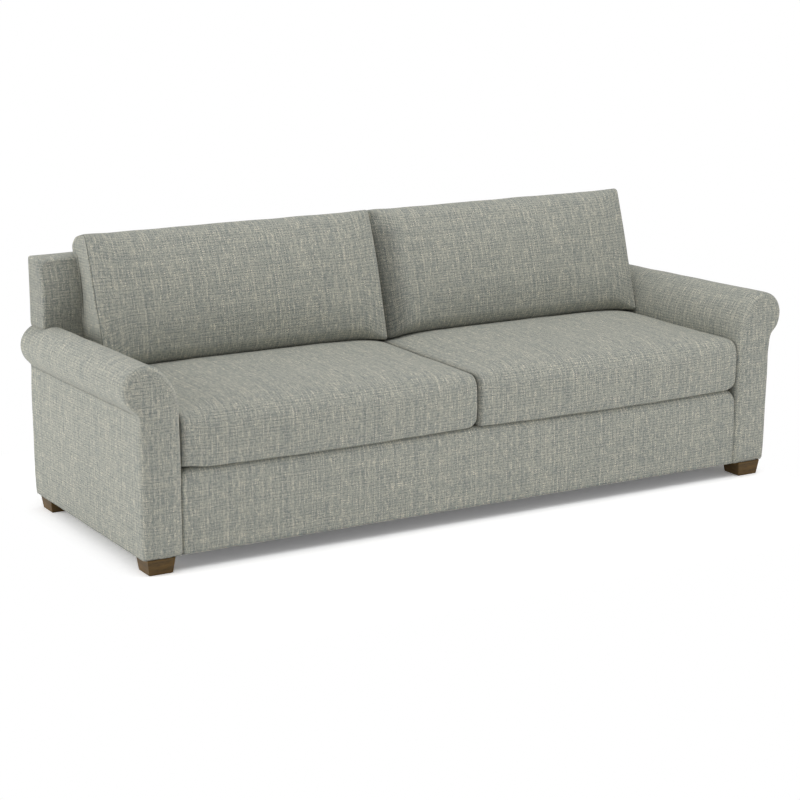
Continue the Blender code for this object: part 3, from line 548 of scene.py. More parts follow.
def end_distances(length, sharp, wide, spacing):
    """Places along a body, closest together near its ends, where it has a sharp and a wide rounding."""
    lead = [sharp * (1 - math.sin(t)) for t in turns(5)[::-1]]
    lead += [d for d in (wide * (1 - math.sin(t)) for t in turns(7)[::-1]) if d > 1.35 * sharp]
    middle = max(2, round((length - 2 * lead[-1]) / spacing))
    between = [lead[-1] + (length - 2 * lead[-1]) * i / middle for i in range(1, middle)]
    return lead + between + [length - d for d in lead[::-1]]


# Arms

ARM_COUNTS = {"floor": 6, "straight": 40, "curve": 28}
# Point of the section where the roll meets the outer side
CREASE_AT = ARM_COUNTS["floor"] + ARM_COUNTS["straight"] + 2 * ARM_COUNTS["curve"]
CREASE_DEPTH = 0.002
CREASE_SHADE = 0.5
CREASE_FILLET = 5
CREASE_EDGE_RADIUS = 0.007
CREASE_REACH = 0.075
ROLL_SPREAD = 0.006
ROLL_TAPER = 0.009
SIDE_PUFF = 0.004
SIDE_REAR_RADIUS = 0.007
ROLL_REAR_RADIUS = 0.017
ARM_SPACING = 0.011
# How far the front and the rear of an arm are stuffed out
ARM_DOME = (0.004, 0.002)


def shoulder(turn, roll_x, start):
    """Point (x, z) of an arm's inner shoulder, from its upright side at 0 to its top at a quarter turn."""
    x = roll_x - (roll_x - ARM_INNER) * abs(math.cos(turn)) ** SHOULDER_FLATNESS
    return x, start + SHOULDER * math.sin(turn) ** SHOULDER_FLATNESS


def arm_outline(y):
    """Closed arm section as (x, z), clockwise from the middle of its underside."""
    centre = ROLL_HEIGHT - roll_fall(y)
    roll_x = ROLL_X + ROLL_SPREAD - (ROLL_SPREAD + ROLL_TAPER) * (y - FRONT) / DEPTH
    curve_start = centre + ROLL_RISE - SHOULDER
    crease = -math.acos((SIDE_HALF - roll_x) / ROLL_RADIUS)
    middle = (ARM_INNER + ARM_WIDTH / 2, LEG_HEIGHT)
    points = run(middle, (ARM_INNER, LEG_HEIGHT), ARM_COUNTS["floor"])
    points += run((ARM_INNER, LEG_HEIGHT), (ARM_INNER, curve_start), ARM_COUNTS["straight"])
    for step in range(ARM_COUNTS["curve"]):
        points.append(shoulder(math.pi / 2 * step / ARM_COUNTS["curve"], roll_x, curve_start))
    for step in range(ARM_COUNTS["curve"]):
        turn = math.pi / 2 + (crease - math.pi / 2) * step / ARM_COUNTS["curve"]
        upright = ROLL_RISE if turn > 0 else ROLL_RADIUS
        points.append((roll_x + ROLL_RADIUS * math.cos(turn), centre + upright * math.sin(turn)))
    low = (SIDE_HALF, LEG_HEIGHT)
    corner = (SIDE_HALF, centre + ROLL_RADIUS * math.sin(crease))
    for x, z in run(corner, low, ARM_COUNTS["straight"]):
        share = (corner[1] - z) / (corner[1] - LEG_HEIGHT)
        points.append((x + SIDE_PUFF * (1 - (2 * share - 1) ** 6), z))
    points += run(low, middle, ARM_COUNTS["floor"])
    points = np.array(points)
    for _ in range(CREASE_FILLET):
        near = slice(CREASE_AT - 3, CREASE_AT + 4)
        points[near] = (points[near] * 2 + points[CREASE_AT - 4:CREASE_AT + 3]
                        + points[CREASE_AT - 2:CREASE_AT + 5]) / 4
    return points


def build_arm(side, label):
    """Arm with its roll. The crease under the roll fades out towards the front."""
    rear_radii = np.full(CREASE_AT + ARM_COUNTS["straight"] + ARM_COUNTS["floor"], SIDE_REAR_RADIUS)
    rear_radii[:CREASE_AT] = ROLL_REAR_RADIUS
    path = lengths(arm_outline(FRONT), True)
    from_crease = np.abs(path[:-1] - path[CREASE_AT])
    front_radii = CREASE_EDGE_RADIUS + (ARM_EDGE_RADIUS - CREASE_EDGE_RADIUS) * smooth(
        0.0, CREASE_REACH, from_crease)
    distances = end_distances(DEPTH, SIDE_REAR_RADIUS, ROLL_REAR_RADIUS, ARM_SPACING)
    rings, seam_and_painted_shade, insets = [], [], []
    for distance in distances:
        y = FRONT + distance
        radii = front_radii if distance < DEPTH / 2 else rear_radii
        to_end = min(distance, DEPTH - distance)
        inset = np.array([drawn_in(to_end, radius) for radius in radii])
        outline = inset_loop(arm_outline(y), inset)
        depth = float(smooth(0.01, 0.07, distance))
        outline[CREASE_AT] += np.array([-CREASE_DEPTH * depth, CREASE_DEPTH * depth / 3])
        flare = [right_flare(y, z) if side > 0 else 0.0 for _, z in outline]
        rings.append([(side * x + extra, y, z) for (x, z), extra in zip(outline, flare)])
        insets.append(inset[CREASE_AT - ARM_COUNTS["curve"] // 2])
        # Painted shade along the crease under the roll, fading towards the front with the crease
        marks = np.zeros(len(outline))
        marks[CREASE_AT] = CREASE_SHADE * depth
        seam_and_painted_shade.append(marks)
    along = lengths(np.array([distances, insets]).T)
    arm = block(f"arm_{label}", rings, TWEED, 12, front_uv, (along, path), ARM_DOME, seam_and_painted_shade)
    subdivide(arm)
    soften(arm, 0.0012)
    cover_underside(arm)
    tie(arm, "frame", "tweed", f"arm_cover_{label}", f"arm_padding_{label}")


# Back

BACK_RUNGS = 82
# How far the front and the rear of the back are stuffed out
BACK_DOME = (0.0, 0.003)


def back_half(fall, end, corner):
    """Half of the back as (x, z), from the middle of its underside round an arm to its top."""
    centre = ROLL_HEIGHT - fall
    curve_start = centre + ROLL_RISE - SHOULDER
    inner = ARM_INNER - SEAM_GAP
    points = run((0.0, LEG_HEIGHT), (inner, LEG_HEIGHT), 40)
    points += run((inner, LEG_HEIGHT), (inner, SEAT_FLOOR), 10)
    points += run((inner, SEAT_FLOOR), (inner, curve_start), 8)
    last = 0.0
    curve = []
    for step in range(1, 200):
        turn = math.pi / 2 * step / 130
        if turn <= math.pi / 2:
            x, z = shoulder(turn, ROLL_X, curve_start)
        else:
            x = ROLL_X + ROLL_RADIUS * math.cos(math.pi - turn)
            z = centre + ROLL_RISE * math.sin(turn)
        if x > end:
            break
        sunk = BACK_SINK * float(smooth(inner, inner + 0.03, x))
        curve.append((x - SEAM_GAP * math.cos(min(turn, math.pi / 2)), z + SEAM_GAP - sunk))
        last = z
    picked = np.linspace(0, len(curve) - 1, 13).round().astype(int)[:-1]
    points += [(inner, curve_start)] + [curve[i] for i in picked[1:]]
    foot = (end, max(last, curve[-1][1]) + BACK_END_LIFT)
    points += run(foot, (end, BACK_TOP - corner), 10)
    points += [(end - x, BACK_TOP - z) for x, z in rounded_edge(corner, 4)]
    points += run(points[-1], (0.0, BACK_TOP), 40)[1:]
    return points


def back_outline(fall, corner):
    """The back's closed outline as (x, z), clockwise from the middle of its underside."""
    left = back_half(fall, SIDE_HALF, corner)
    right = back_half(fall, SIDE_HALF - BACK_RIGHT_SET_IN, corner)
    return [(-x, z) for x, z in left] + [(0.0, BACK_TOP)] + right[:0:-1]


def back_front(x, z):
    """Y of the cloth on the front of the back."""
    return back_face(z) + end_set_back(x, z)


def build_back():
    """Back in rings from its front to its rear, with rounded edges at both."""
    radius = BACK_PANEL_RADIUS
    front_fall, back_fall = roll_fall(back_face(ROLL_HEIGHT)), roll_fall(BACK)
    rounding = rounded_edge(radius, 5)
    rings = []
    for inset, along in rounding[::-1]:
        ring = inset_loop(back_outline(front_fall, BACK_FRONT_CORNER_RADIUS), inset)
        rings.append([(x, back_front(x, z) + along, z) for x, z in ring])
    for step in range(1, 6):
        share = step / 6
        corner = BACK_FRONT_CORNER_RADIUS - BACK_CORNER_RADIUS
        corner = BACK_CORNER_RADIUS + corner * max(0, 1 - 2.6 * share)
        ring = back_outline(front_fall * (1 - share) + back_fall * share, corner)
        rings.append([(x, (back_front(x, z) + radius) * (1 - share) + (BACK - radius) * share, z)
                      for x, z in ring])
    for inset, along in rounding:
        ring = inset_loop(back_outline(back_fall, BACK_CORNER_RADIUS), inset)
        rings.append([(x, BACK - along, z) for x, z in ring])
    back = block("back", rings, TWEED, BACK_RUNGS, front_uv, None, BACK_DOME)
    # Inside the front's outline only the ends are set back
    places = coordinates(back.data)
    for at in range(len(rings) * len(rings[0]), len(places)):
        x, y, z = places[at]
        if y < BACK - BACK_THICKNESS / 2:
            places[at][1] = back_front(x, z)
    set_coordinates(back.data, places)
    subdivide(back)
    soften(back, 0.0008)
    cover_underside(back)
    # Painted shade on the back's ends, from 0.6 m up to just under its top, and short of its rear face
    x, y, z = coordinates(back.data).T
    shade = BACK_END_SHADE * smooth(0.95, 1.00, np.abs(x)) * smooth(0.58, 0.62, z)
    shade *= smooth(BACK_TOP - 0.002, BACK_TOP - 0.012, z) * smooth(BACK - 0.002, BACK - 0.015, y)
    back.data.attributes["seam_and_painted_shade"].data.foreach_set("value", shade)
    tie(back, "frame", "tweed", "back_cover", "back_padding", "back_webbing")


# Front rail and deck

RAIL_SPACING = 0.020
DECK_SPACING = 0.022
DECK_EDGE_RADIUS = 0.007
DECK_SAG = 0.0022
SPRING_PITCH = 0.162


def build_front_rail():
    """Padded cloth over the rail, open at the back where the timber is."""
    def layer(inset):
        front, top, radius = RAIL_FRONT + inset, RAIL_TOP - inset, RAIL_EDGE_RADIUS - inset
        points = run((front, LEG_HEIGHT), (front, top - radius), 24)
        points += [(front + y, top - z) for y, z in rounded_edge(radius, 6)]
        return points + run(points[-1], (RAIL_FRONT + RAIL_TOP_DEPTH, top), 8, True)[1:]

    outer, inner = layer(0.0), layer(RAIL_THICKNESS)
    foot = ((outer[0][0] + inner[0][0]) / 2, LEG_HEIGHT)
    tail = (outer[-1][0], (outer[-1][1] + inner[-1][1]) / 2)
    profile = [foot] + outer + [tail] + inner[::-1]
    distances = end_distances(2 * BOX_SIDE, RAIL_END_RADIUS, RAIL_CORNER_RADIUS, RAIL_SPACING)
    rings, insets = [], []
    for distance in distances:
        to_end = min(distance, 2 * BOX_SIDE - distance)
        insets.append(drawn_in(to_end, RAIL_END_RADIUS))
        ring = inset_loop(profile, insets[-1])
        height = (ring[:, 1] - LEG_HEIGHT) / (RAIL_TOP - LEG_HEIGHT)
        face = ring[:, 0] < RAIL_FRONT + 0.012
        puff = RAIL_PUFF * np.clip(1 - np.abs(2 * height - 0.95) ** 3, 0, 1) * face
        puff *= 1 - 0.6 * math.exp(-to_end / 0.03)
        drop = drawn_in(to_end, RAIL_CORNER_RADIUS) * smooth(0.80, 1.0, height)
        reach = distance - BOX_SIDE + RAIL_RIGHT_REACH * (distance / (2 * BOX_SIDE)) ** 10
        rings.append([(reach, y - p, z - d) for (y, z), p, d in zip(ring, puff, drop)])
    skin = (lengths(np.array([distances, insets]).T), lengths(profile, True))
    rail = block("front_rail_upholstery", rings, TWEED, 2, side_uv, skin)
    subdivide(rail)
    soften(rail, 0.0010)
    cover_underside(rail)
    tie(rail, "frame", "tweed", "front_rail_cover", "front_rail_padding")


def rounded_section(half_y, half_z, radii, side, corner, flat):
    """A rounded rectangle as (y, z), from the middle of its rear down, along the bottom and round."""
    ways = ((1, -1, 0.0), (-1, -1, -math.pi / 2), (-1, 1, math.pi), (1, 1, math.pi / 2))
    centres = [(y * (half_y - radius), z * (half_z - radius)) for (y, z, _), radius in zip(ways, radii)]
    points = []
    for at, ((y, z, start), radius, (cy, cz)) in enumerate(zip(ways, radii, centres)):
        if at in (0, 2):
            points += run((y * half_y, 0.0), (y * half_y, cz), side)
        for i in range(corner):
            t = start - math.pi / 2 * i / corner
            points.append((cy + radius * math.cos(t), cz + radius * math.sin(t)))
        if at in (0, 2):
            points += run((cy, z * half_z), (centres[at + 1][0], z * half_z), flat)
        else:
            points += run((y * half_y, cz), (y * half_y, 0.0), side)
    return points


def build_deck():
    """Cloth and padding over the springs, a little lower between them."""
    low = (-BOX_SIDE, RAIL_FRONT + RAIL_TOP_DEPTH + SEAM_GAP, DECK_TOP - DECK_THICKNESS)
    high = (BOX_SIDE, BACK_FOOT - SEAM_GAP, DECK_TOP)
    wide, radius = high[0] - low[0], DECK_EDGE_RADIUS
    rounding = rounded_edge(radius, 3)
    count = round((wide - 2 * radius) / DECK_SPACING)
    stations = rounding[::-1] + [(0.0, radius + (wide - 2 * radius) * i / count) for i in range(1, count)]
    stations += [(inset, wide - distance) for inset, distance in rounding]
    middle_y, middle_z = (low[1] + high[1]) / 2, (low[2] + high[2]) / 2
    rings = []
    for inset, distance in stations:
        half_y = (high[1] - low[1]) / 2 - inset
        half_z = (high[2] - low[2]) / 2 * (1 - 0.9 * inset / radius)
        section = rounded_section(half_y, half_z, (min(radius, 0.9 * half_z),) * 4, 2, 3, 24)
        rings.append([(low[0] + distance, middle_y + y, middle_z + z) for y, z in section])
    path = [(y, z) for _, y, z in rings[len(rings) // 2]]
    along = [low[0] + distance for _, distance in stations]
    deck = block("seat_deck", rings, DECK_CLOTH, 2, side_uv, (along, lengths(path, True)))
    subdivide(deck)
    places = coordinates(deck.data)
    between = 0.5 + 0.5 * np.cos(places[:, 0] * 2 * math.pi / SPRING_PITCH)
    across = np.clip(1 - ((places[:, 1] - middle_y) / (high[1] - middle_y)) ** 4, 0, 1)
    places[:, 2] -= DECK_SAG * between * across
    set_coordinates(deck.data, places)
    tie(deck, "frame", "deck_cloth", "deck_cloth", "deck_padding")


# Cushions

# radii are a section's at its rear foot, front foot, front top and rear top, panel_radii the same at a side
# panel, and end_radii those between the two, at the front, rear, foot and top. counts are a section's points
# up half a side, round a corner and along a flat, and form_counts those of the coarse form for the cloth,
# which moves the cushion along X, Y and Z by the shares in directions.
SEAT = {
    "radii": (0.014, 0.020, 0.046, 0.026), "panel_radii": (0.014, 0.020, 0.036, 0.026),
    "end_radii": (0.006, 0.010, 0.030, 0.012), "counts": (5, 8, 60), "form_counts": (2, 3, 15),
    "rungs": 14, "directions": (0.0, 0.25, 1.0), "unevenness": 0.0010, "fill": 0.85,
}
BACKREST = {
    "radii": (0.018, 0.050, 0.040, 0.036), "panel_radii": (0.018, 0.010, 0.016, 0.046),
    "end_radii": (0.005, 0.006, 0.006, 0.006), "counts": (20, 8, 8), "form_counts": (6, 3, 3),
    "rungs": 12, "directions": (0.0, 1.0, 0.5), "unevenness": 0.0012, "fill": 0.75,
}
# Front radii where a right cushion lies against the left one, and of the left one there
SEAT_INNER_RADIUS = 0.020
CUSHION_INNER_RADIUS = 0.056
CUSHION_MIDDLE_RADIUS = 0.013
# The foot of a seat cushion is less round at its left end
SEAT_FIRST_FOOT_RADIUS = 0.010
# Left ends lie in shade: how dark, from where to where along the cushion, and how far below its top
SEAT_SHADE = (0.70, 0.024, 0.004, 0.05)
CUSHION_SHADE = (0.60, 0.100, 0.035, 0.10)
# Share of its crown that a cushion has before the cloth is blown up, and how far that moves it at most
CROWN_START = 0.60
CLOTH_SWELL = 0.012
# Distances from a held end, and from the zip's flat rear, over which cloth grows loose
LOOSENING = (0.004, 0.030)
CLOTH_SETTINGS = {
    "quality": 5, "mass": 0.3, "air_damping": 1.0, "tension_stiffness": 15.0, "compression_stiffness": 15.0,
    "shear_stiffness": 5.0, "bending_stiffness": 0.5, "use_pressure": True, "uniform_pressure_force": 4.0,
}
CLOTH_FRAMES = 20
CUSHION_SPACING = 0.0115
FORM_SPACING = 0.042
PANEL_REACH = 0.110
SEAM_RING = 2
SEAM_DEPTH = 0.0020
SEAM_SHARE = 0.6


def puffed(a, b, sharp):
    """Height of a stuffed face, 1 in its middle and 0 at its seams, where most of it is steep."""
    return 0.76 * (1 - a**4) * (1 - b**4) + 0.24 * (1 - a**14) * (1 - b**sharp)


def crown_share():
    """Share of the crown that is modelled."""
    return CROWN_START


def seat_shape(side):
    """Seat cushion from u, v, w in -1 to 1: across, front to back, and up."""
    inner, outer = SEAT_MIDDLE_GAP / 2, ARM_INNER - SEAT_SIDE_GAP
    front, rear = FRONT + SEAT_FRONT_SET_BACK, BACK_FOOT - SEAT_REAR_GAP

    def shape(u, v, w):
        x = side * (inner + outer) / 2 + (outer - inner) / 2 * u
        y = (front + rear) / 2 + (rear - front) / 2 * v
        y += SEAT_FRONT_BULGE * u * u * ((1 - v) / 2) ** 4
        y += (SEAT_FACE_SET_BACK - SEAT_FACE_PUFF * (1 - w * w) * (1 - 0.3 * u**4)) * ((1 - v) / 2) ** 6
        up = (w + 1) / 2
        z = SEAT_FLOOR + SEAT_EDGE_THICKNESS * up
        z += crown_share() * SEAT_CROWN * puffed(u, v, 10) * up**1.5
        behind = float(smooth(-0.1, 0.55, v) * smooth(1.0, 0.75, v))
        z += SEAT_REAR_RISE * (1 - abs(u) ** 7) * behind * up**1.5
        # The front foot droops over the rail
        lifted = 1 - SEAT_FOOT_LIFT * float(smooth(-0.93, -1.02, x))
        z -= SEAT_FOOT_DROOP * float(smooth(-0.335, -0.385, y)) * (1 - up) ** 2 * lifted
        z -= SEAT_LIP_DROOP * float(smooth(-0.395, -0.425, y)) * (1 - up) ** 2 * lifted
        if side > 0:
            x += right_flare(y, z) * ((u + 1) / 2) ** 8
        return x, y, z

    return shape, (outer - inner) / 2, (rear - front) / 2, SEAT_EDGE_THICKNESS / 2


def cushion_rear(height):
    return back_face(height) - CUSHION_REAR_GAP / math.cos(BACK_LEAN)


def cushion_shape(side):
    """Back cushion from u, v, w in -1 to 1: across, front to back, and up."""
    inner, outer = SEAT_MIDDLE_GAP / 2, ARM_INNER - SEAT_SIDE_GAP
    rear_foot = CUSHION_FOOT_HEIGHT - CUSHION_FOOT_FALL
    rear_top = CUSHION_TOP_HEIGHT - CUSHION_TOP_FALL
    leaned = CUSHION_FOOT_REACH - CUSHION_TOP_REACH
    tall = CUSHION_TOP_HEIGHT - CUSHION_FOOT_HEIGHT
    front_lean = math.atan2(leaned, tall)

    def shape(u, v, w):
        up = (w + 1) / 2
        x = side * (inner + outer) / 2 + (outer - inner) / 2 * u
        front_y = BACK - CUSHION_FOOT_REACH + leaned * up
        front_z = CUSHION_FOOT_HEIGHT + tall * up
        rear_z = rear_foot + (rear_top - rear_foot) * up
        rear_y = cushion_rear(rear_z) + 0.9 * end_set_back(x, rear_z)
        rear_y += CUSHION_OVERHANG * float(smooth(BACK_TOP + 0.001, BACK_TOP + 0.022, rear_z))
        share = (v + 1) / 2
        # The front is bowed from foot to top, most at the left end and not at the right one
        bow = CUSHION_BOW * (0.5 - 0.5 * x / outer)
        crown = crown_share() * (CUSHION_CROWN - bow) * puffed(u, w, 12)
        crown = (crown + bow * (1 - w * w)) * (1 - share) ** 1.5
        y = front_y + (rear_y - front_y) * share - crown * math.cos(front_lean)
        z = front_z + (rear_z - front_z) * share + crown * math.sin(front_lean)
        z -= CUSHION_TOP_SAG * (1 - u * u) * up**3
        z += CUSHION_FOOT_RAISE * (1 - abs(u) ** 7) * (1 - up) ** 3 * (1 - share)
        # Above the arm the side panel swells outwards
        loose = float(smooth(0.62, 0.72, z)) * (1 - w * w) * (1 - v**4)
        x -= CUSHION_SIDE_PUFF * loose * max(0.0, -u) ** 6 if side < 0 else 0.0
        return x, y, z

    return shape, (outer - inner) / 2, CUSHION_HALF_DEPTH, tall / 2


def cushion_rings(make, kind, counts, spacing, front=None, foot=None, shade=None):
    """Rings across a cushion. Each seam is sunk a little where the section turns to a side panel.
    front and foot are radii of its left and right end, where they differ from end_radii."""
    shape, half_x, half_y, half_z = make
    end_radii = kind["end_radii"]
    front, foot = front or (end_radii[0],) * 2, foot or (end_radii[2],) * 2
    distances = end_distances(2 * half_x, min(end_radii), max(*end_radii, *front), spacing)
    fronts = [front[0] if d < half_x else front[1] for d in distances]
    feet = [foot[0] if d < half_x else foot[1] for d in distances]
    whole = np.array(rounded_section(half_y, half_z, kind["radii"], *counts))
    at_panel = np.array(rounded_section(half_y, half_z, kind["panel_radii"], *counts))
    rings = []
    for distance, front_radius, foot_radius in zip(distances, fronts, feet):
        to_end = min(distance, 2 * half_x - distance)
        share = smooth(0.0, PANEL_REACH, to_end)
        section = whole * share + at_panel * (1 - share)
        radii_here = (front_radius, end_radii[1], foot_radius, end_radii[3])
        before, behind, below, above = [drawn_in(to_end, radius) for radius in radii_here]
        section[:, 0] *= 1 - np.where(section[:, 0] < 0, before, behind) / half_y
        section[:, 1] *= 1 - np.where(section[:, 1] < 0, below, above) / half_z
        rings.append([shape(distance / half_x - 1, y / half_y, z / half_z) for y, z in section])
    rings = np.array(rings)
    last = len(rings) - 1 - SEAM_RING
    for at, towards in ((SEAM_RING, 1), (last, -1)):
        inward = rings[at].mean(0) - rings[at]
        inward[:, 0] = 0
        inward /= np.linalg.norm(inward, axis=1)[:, None]
        rings[at] += inward * SEAM_DEPTH
        rings[at][:, 0] += towards * SEAM_DEPTH * SEAM_SHARE
    # Seam rings darkened, partly the seam's own dark line and partly painted shade in its groove; shade adds
    # painted shade at the left end, fading along the cushion and up to its top
    seam_and_painted_shade = np.zeros(rings.shape[:2])
    seam_and_painted_shade[[SEAM_RING, last]] = 1.0
    if shade:
        dark, clear_at, dark_at, depth = shade
        top = rings[:, :, 2].max()
        near = dark * smooth(clear_at, dark_at, np.array(distances))
        seam_and_painted_shade = np.maximum(seam_and_painted_shade, near[:, None] * smooth(top, top - depth, rings[:, :, 2]))
    front_inset = [drawn_in(min(d, 2 * half_x - d), radius) for d, radius in zip(distances, fronts)]
    along = lengths(np.array([distances, front_inset]).T)
    return rings, along, seam_and_painted_shade


def blow_up(rings, held):
    """Coarse cushion from its rings, blown up as cloth. Gives its points at rest and their movement."""
    obj = block("cushion_form", rings, TWEED, 6, side_uv)
    mesh = obj.data
    start = coordinates(mesh)
    group = obj.vertex_groups.new(name="held")
    for index, place in enumerate(start):
        group.add([index], float(held(place)), "REPLACE")
    cloth = obj.modifiers.new("cloth", "CLOTH")
    for key, value in CLOTH_SETTINGS.items():
        setattr(cloth.settings, key, value)
    cloth.settings.vertex_group_mass = "held"
    cloth.settings.effector_weights.gravity = 0.0
    cloth.collision_settings.use_collision = False
    cloth.collision_settings.use_self_collision = False
    cloth.point_cache.frame_start = 1
    cloth.point_cache.frame_end = CLOTH_FRAMES
    scene = bpy.context.scene
    for at in range(1, CLOTH_FRAMES + 1):
        scene.frame_set(at)
    graph = bpy.context.evaluated_depsgraph_get()
    moved = coordinates(obj.evaluated_get(graph).data) - start
    scene.frame_set(1)
    bpy.data.objects.remove(obj)
    return start, moved


def swell(obj, rings, held, directions):
    """Moves a cushion's points as its coarse form moved, scaled to at most CLOTH_SWELL."""
    start, moved = blow_up(rings, held)
    size = np.linalg.norm(moved, axis=1)
    moved *= CLOTH_SWELL / max(np.percentile(size, 98), 1e-6)
    size = np.linalg.norm(moved, axis=1)
    moved *= (np.minimum(size, CLOTH_SWELL) / np.maximum(size, 1e-9))[:, None]
    moved *= np.array(directions)
    tree = KDTree(len(start))
    for index, place in enumerate(start):
        tree.insert(place, index)
    tree.balance()
    places = coordinates(obj.data)
    steps = np.zeros_like(places)
    for index, place in enumerate(places):
        near = tree.find_n(place, 6)
        weights = np.array([1 / (distance + 0.004) ** 2 for _, _, distance in near])
        steps[index] = (moved[[found for _, found, _ in near]] * weights[:, None]).sum(0) / weights.sum()
    set_coordinates(obj.data, places + steps)


def build_cushion(place, label, make, kind, ends, loose, rear):
    """Cushion whose cloth is held at its ends, and where loose says so at its rear and its foot."""
    rings, along, seam_and_painted_shade = cushion_rings(make, kind, kind["counts"], CUSHION_SPACING, *ends)
    skin = (along, lengths(rings[len(rings) // 2], True))
    cushion = block(f"{place}_cushion_{label}", rings, TWEED, kind["rungs"], side_uv, skin, seam_and_painted_shade=seam_and_painted_shade)
    form = cushion_rings(make, kind, kind["form_counts"], FORM_SPACING)[0]
    left, right = rings[0].mean(0)[0], rings[-1].mean(0)[0]

    def held(point):
        to_end = min(abs(point[0] - left), abs(point[0] - right))
        behind, below = loose(point)
        return 1.0 - smooth(*LOOSENING, to_end) * behind * below

    swell(cushion, form, held, kind["directions"])
    subdivide(cushion)
    soften(cushion, kind["unevenness"], rear)
    nodes = [f"{place}_cushion_{part}_{label}" for part in ("cover", "core")]
    tie(cushion, f"{place}_cushion_{label}", "tweed", *nodes)


def build_seat_cushion(side, label):
    plain_front, _, plain_foot, _ = SEAT["end_radii"]
    fronts = (SEAT_INNER_RADIUS if side > 0 else plain_front, plain_front)
    rear = BACK_FOOT - SEAT_REAR_GAP
    high = SEAT_FLOOR + 0.3 * SEAT_EDGE_THICKNESS

    def loose(point):
        return smooth(0.004, 0.040, rear - point[1]), smooth(SEAT_FLOOR + 0.02, high, point[2])

    ends = (fronts, (SEAT_FIRST_FOOT_RADIUS, plain_foot), SEAT_SHADE)
    build_cushion("seat", label, seat_shape(side), SEAT, ends, loose, lambda z: rear)


def build_back_cushion(side, label):
    plain = BACKREST["end_radii"][0]
    fronts = (CUSHION_INNER_RADIUS, plain) if side > 0 else (plain, CUSHION_MIDDLE_RADIUS)
    ends = (fronts, None, CUSHION_SHADE if side > 0 else None)

    def loose(point):
        behind = smooth(0.030, 0.090, cushion_rear(point[2]) - point[1])
        return behind, smooth(CUSHION_FOOT_HEIGHT, CUSHION_FOOT_HEIGHT + 0.05, point[2])

    build_cushion("back", label, cushion_shape(side), BACKREST, ends, loose, cushion_rear)


# Zips in the rear of the cushions

# Sizes across a zip, and how far each thing stands out from the middle of the tape
TAPE_TALL, TAPE_THICK, TAPE_OUT = 0.0292, 0.0012, 0.0004
COIL_PITCH, COIL_TALL, COIL_THICK, COIL_OUT = 0.0025, 0.0046, 0.0012, 0.0014
# The teeth stand a little higher and lower by turns
COIL_SHIFT = 0.0002
STITCH_PITCH, STITCH_LONG, STITCH_TALL, STITCH_THICK, STITCH_OUT = 0.0042, 0.0030, 0.0007, 0.0006, 0.0011
STITCH_ROW = 0.0118
SLIDER_WIDE, SLIDER_TALL, SLIDER_THICK, SLIDER_OUT = 0.009, 0.012, 0.0024, 0.0021
BRIDGE_OUT, BRIDGE_FOOT = 0.0040, 0.0032
PULL_WIDE, PULL_LONG, PULL_THICK, PULL_OUT = 0.005, 0.024, 0.0009, 0.0036
PULL_TOP = 0.001
PULL_HOLE = (0.0013, 0.0026)
PULL_HOLE_RISE = 0.0048
PULL_POINTS = 24


class Solid:
    """Gathers small closed shapes, given in the frame of a zip, into one mesh."""

    def __init__(self, middle, lean):
        self.middle = Vector(middle)
        self.out = Vector((0.0, math.cos(lean), -math.sin(lean)))
        self.up = Vector((0.0, math.sin(lean), math.cos(lean)))
        self.points, self.faces = [], []

    def loft(self, loops, ring=False):
        """Closed shape through loops of (x, up, out) with as many points each, or back to the first loop."""
        first, size, count = len(self.points), len(loops[0]), len(loops)
        for loop in loops:
            for x, up, out in loop:
                self.points.append(self.middle + Vector((x, 0, 0)) + self.up * up + self.out * out)
        for s in range(count if ring else count - 1):
            a, b = first + s * size, first + (s + 1) % count * size
            for j in range(size):
                k = (j + 1) % size
                self.faces.append((a + j, a + k, b + k, b + j))
        if not ring:
            last = first + (count - 1) * size
            self.faces.append(tuple(range(first + size - 1, first - 1, -1)))
            self.faces.append(tuple(range(last, last + size)))

    def finish(self, name, material):
        made = mesh_object(name, self.points, self.faces, material, False)
        turn_outwards(made.data)
        return made


def rounded_box(x, up, out, half_x, half_up, half_out, radius, corner=2):
    """Loops along x of a small block with rounded edges."""
    loops = []
    for share, inset in ((-1.0, radius), (-1.0, 0.35 * radius), (1.0, 0.35 * radius), (1.0, radius)):
        end = half_x - (0.0 if inset == radius else 0.65 * radius)
        tall, thick = half_up - inset, half_out - inset
        bend = min(radius, tall, thick)
        section = rounded_section(tall, thick, (bend * 0.8,) * 4, 1, corner, 1)
        loops.append([(x + share * end, up + a, out + b) for a, b in section])
    return loops


def zip_frame(label, lean):
    """An empty mesh in the frame of a zip's tape, and half the tape's length."""
    low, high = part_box(f"zip_tape_{label}")
    return Solid((low + high) / 2, lean), (high.x - low.x) / 2


def zip_row(length, pitch):
    """Places of a row of things as long as a zip, from its middle."""
    count = int(length / pitch)
    return [(i - (count - 1) / 2) * pitch for i in range(count)]


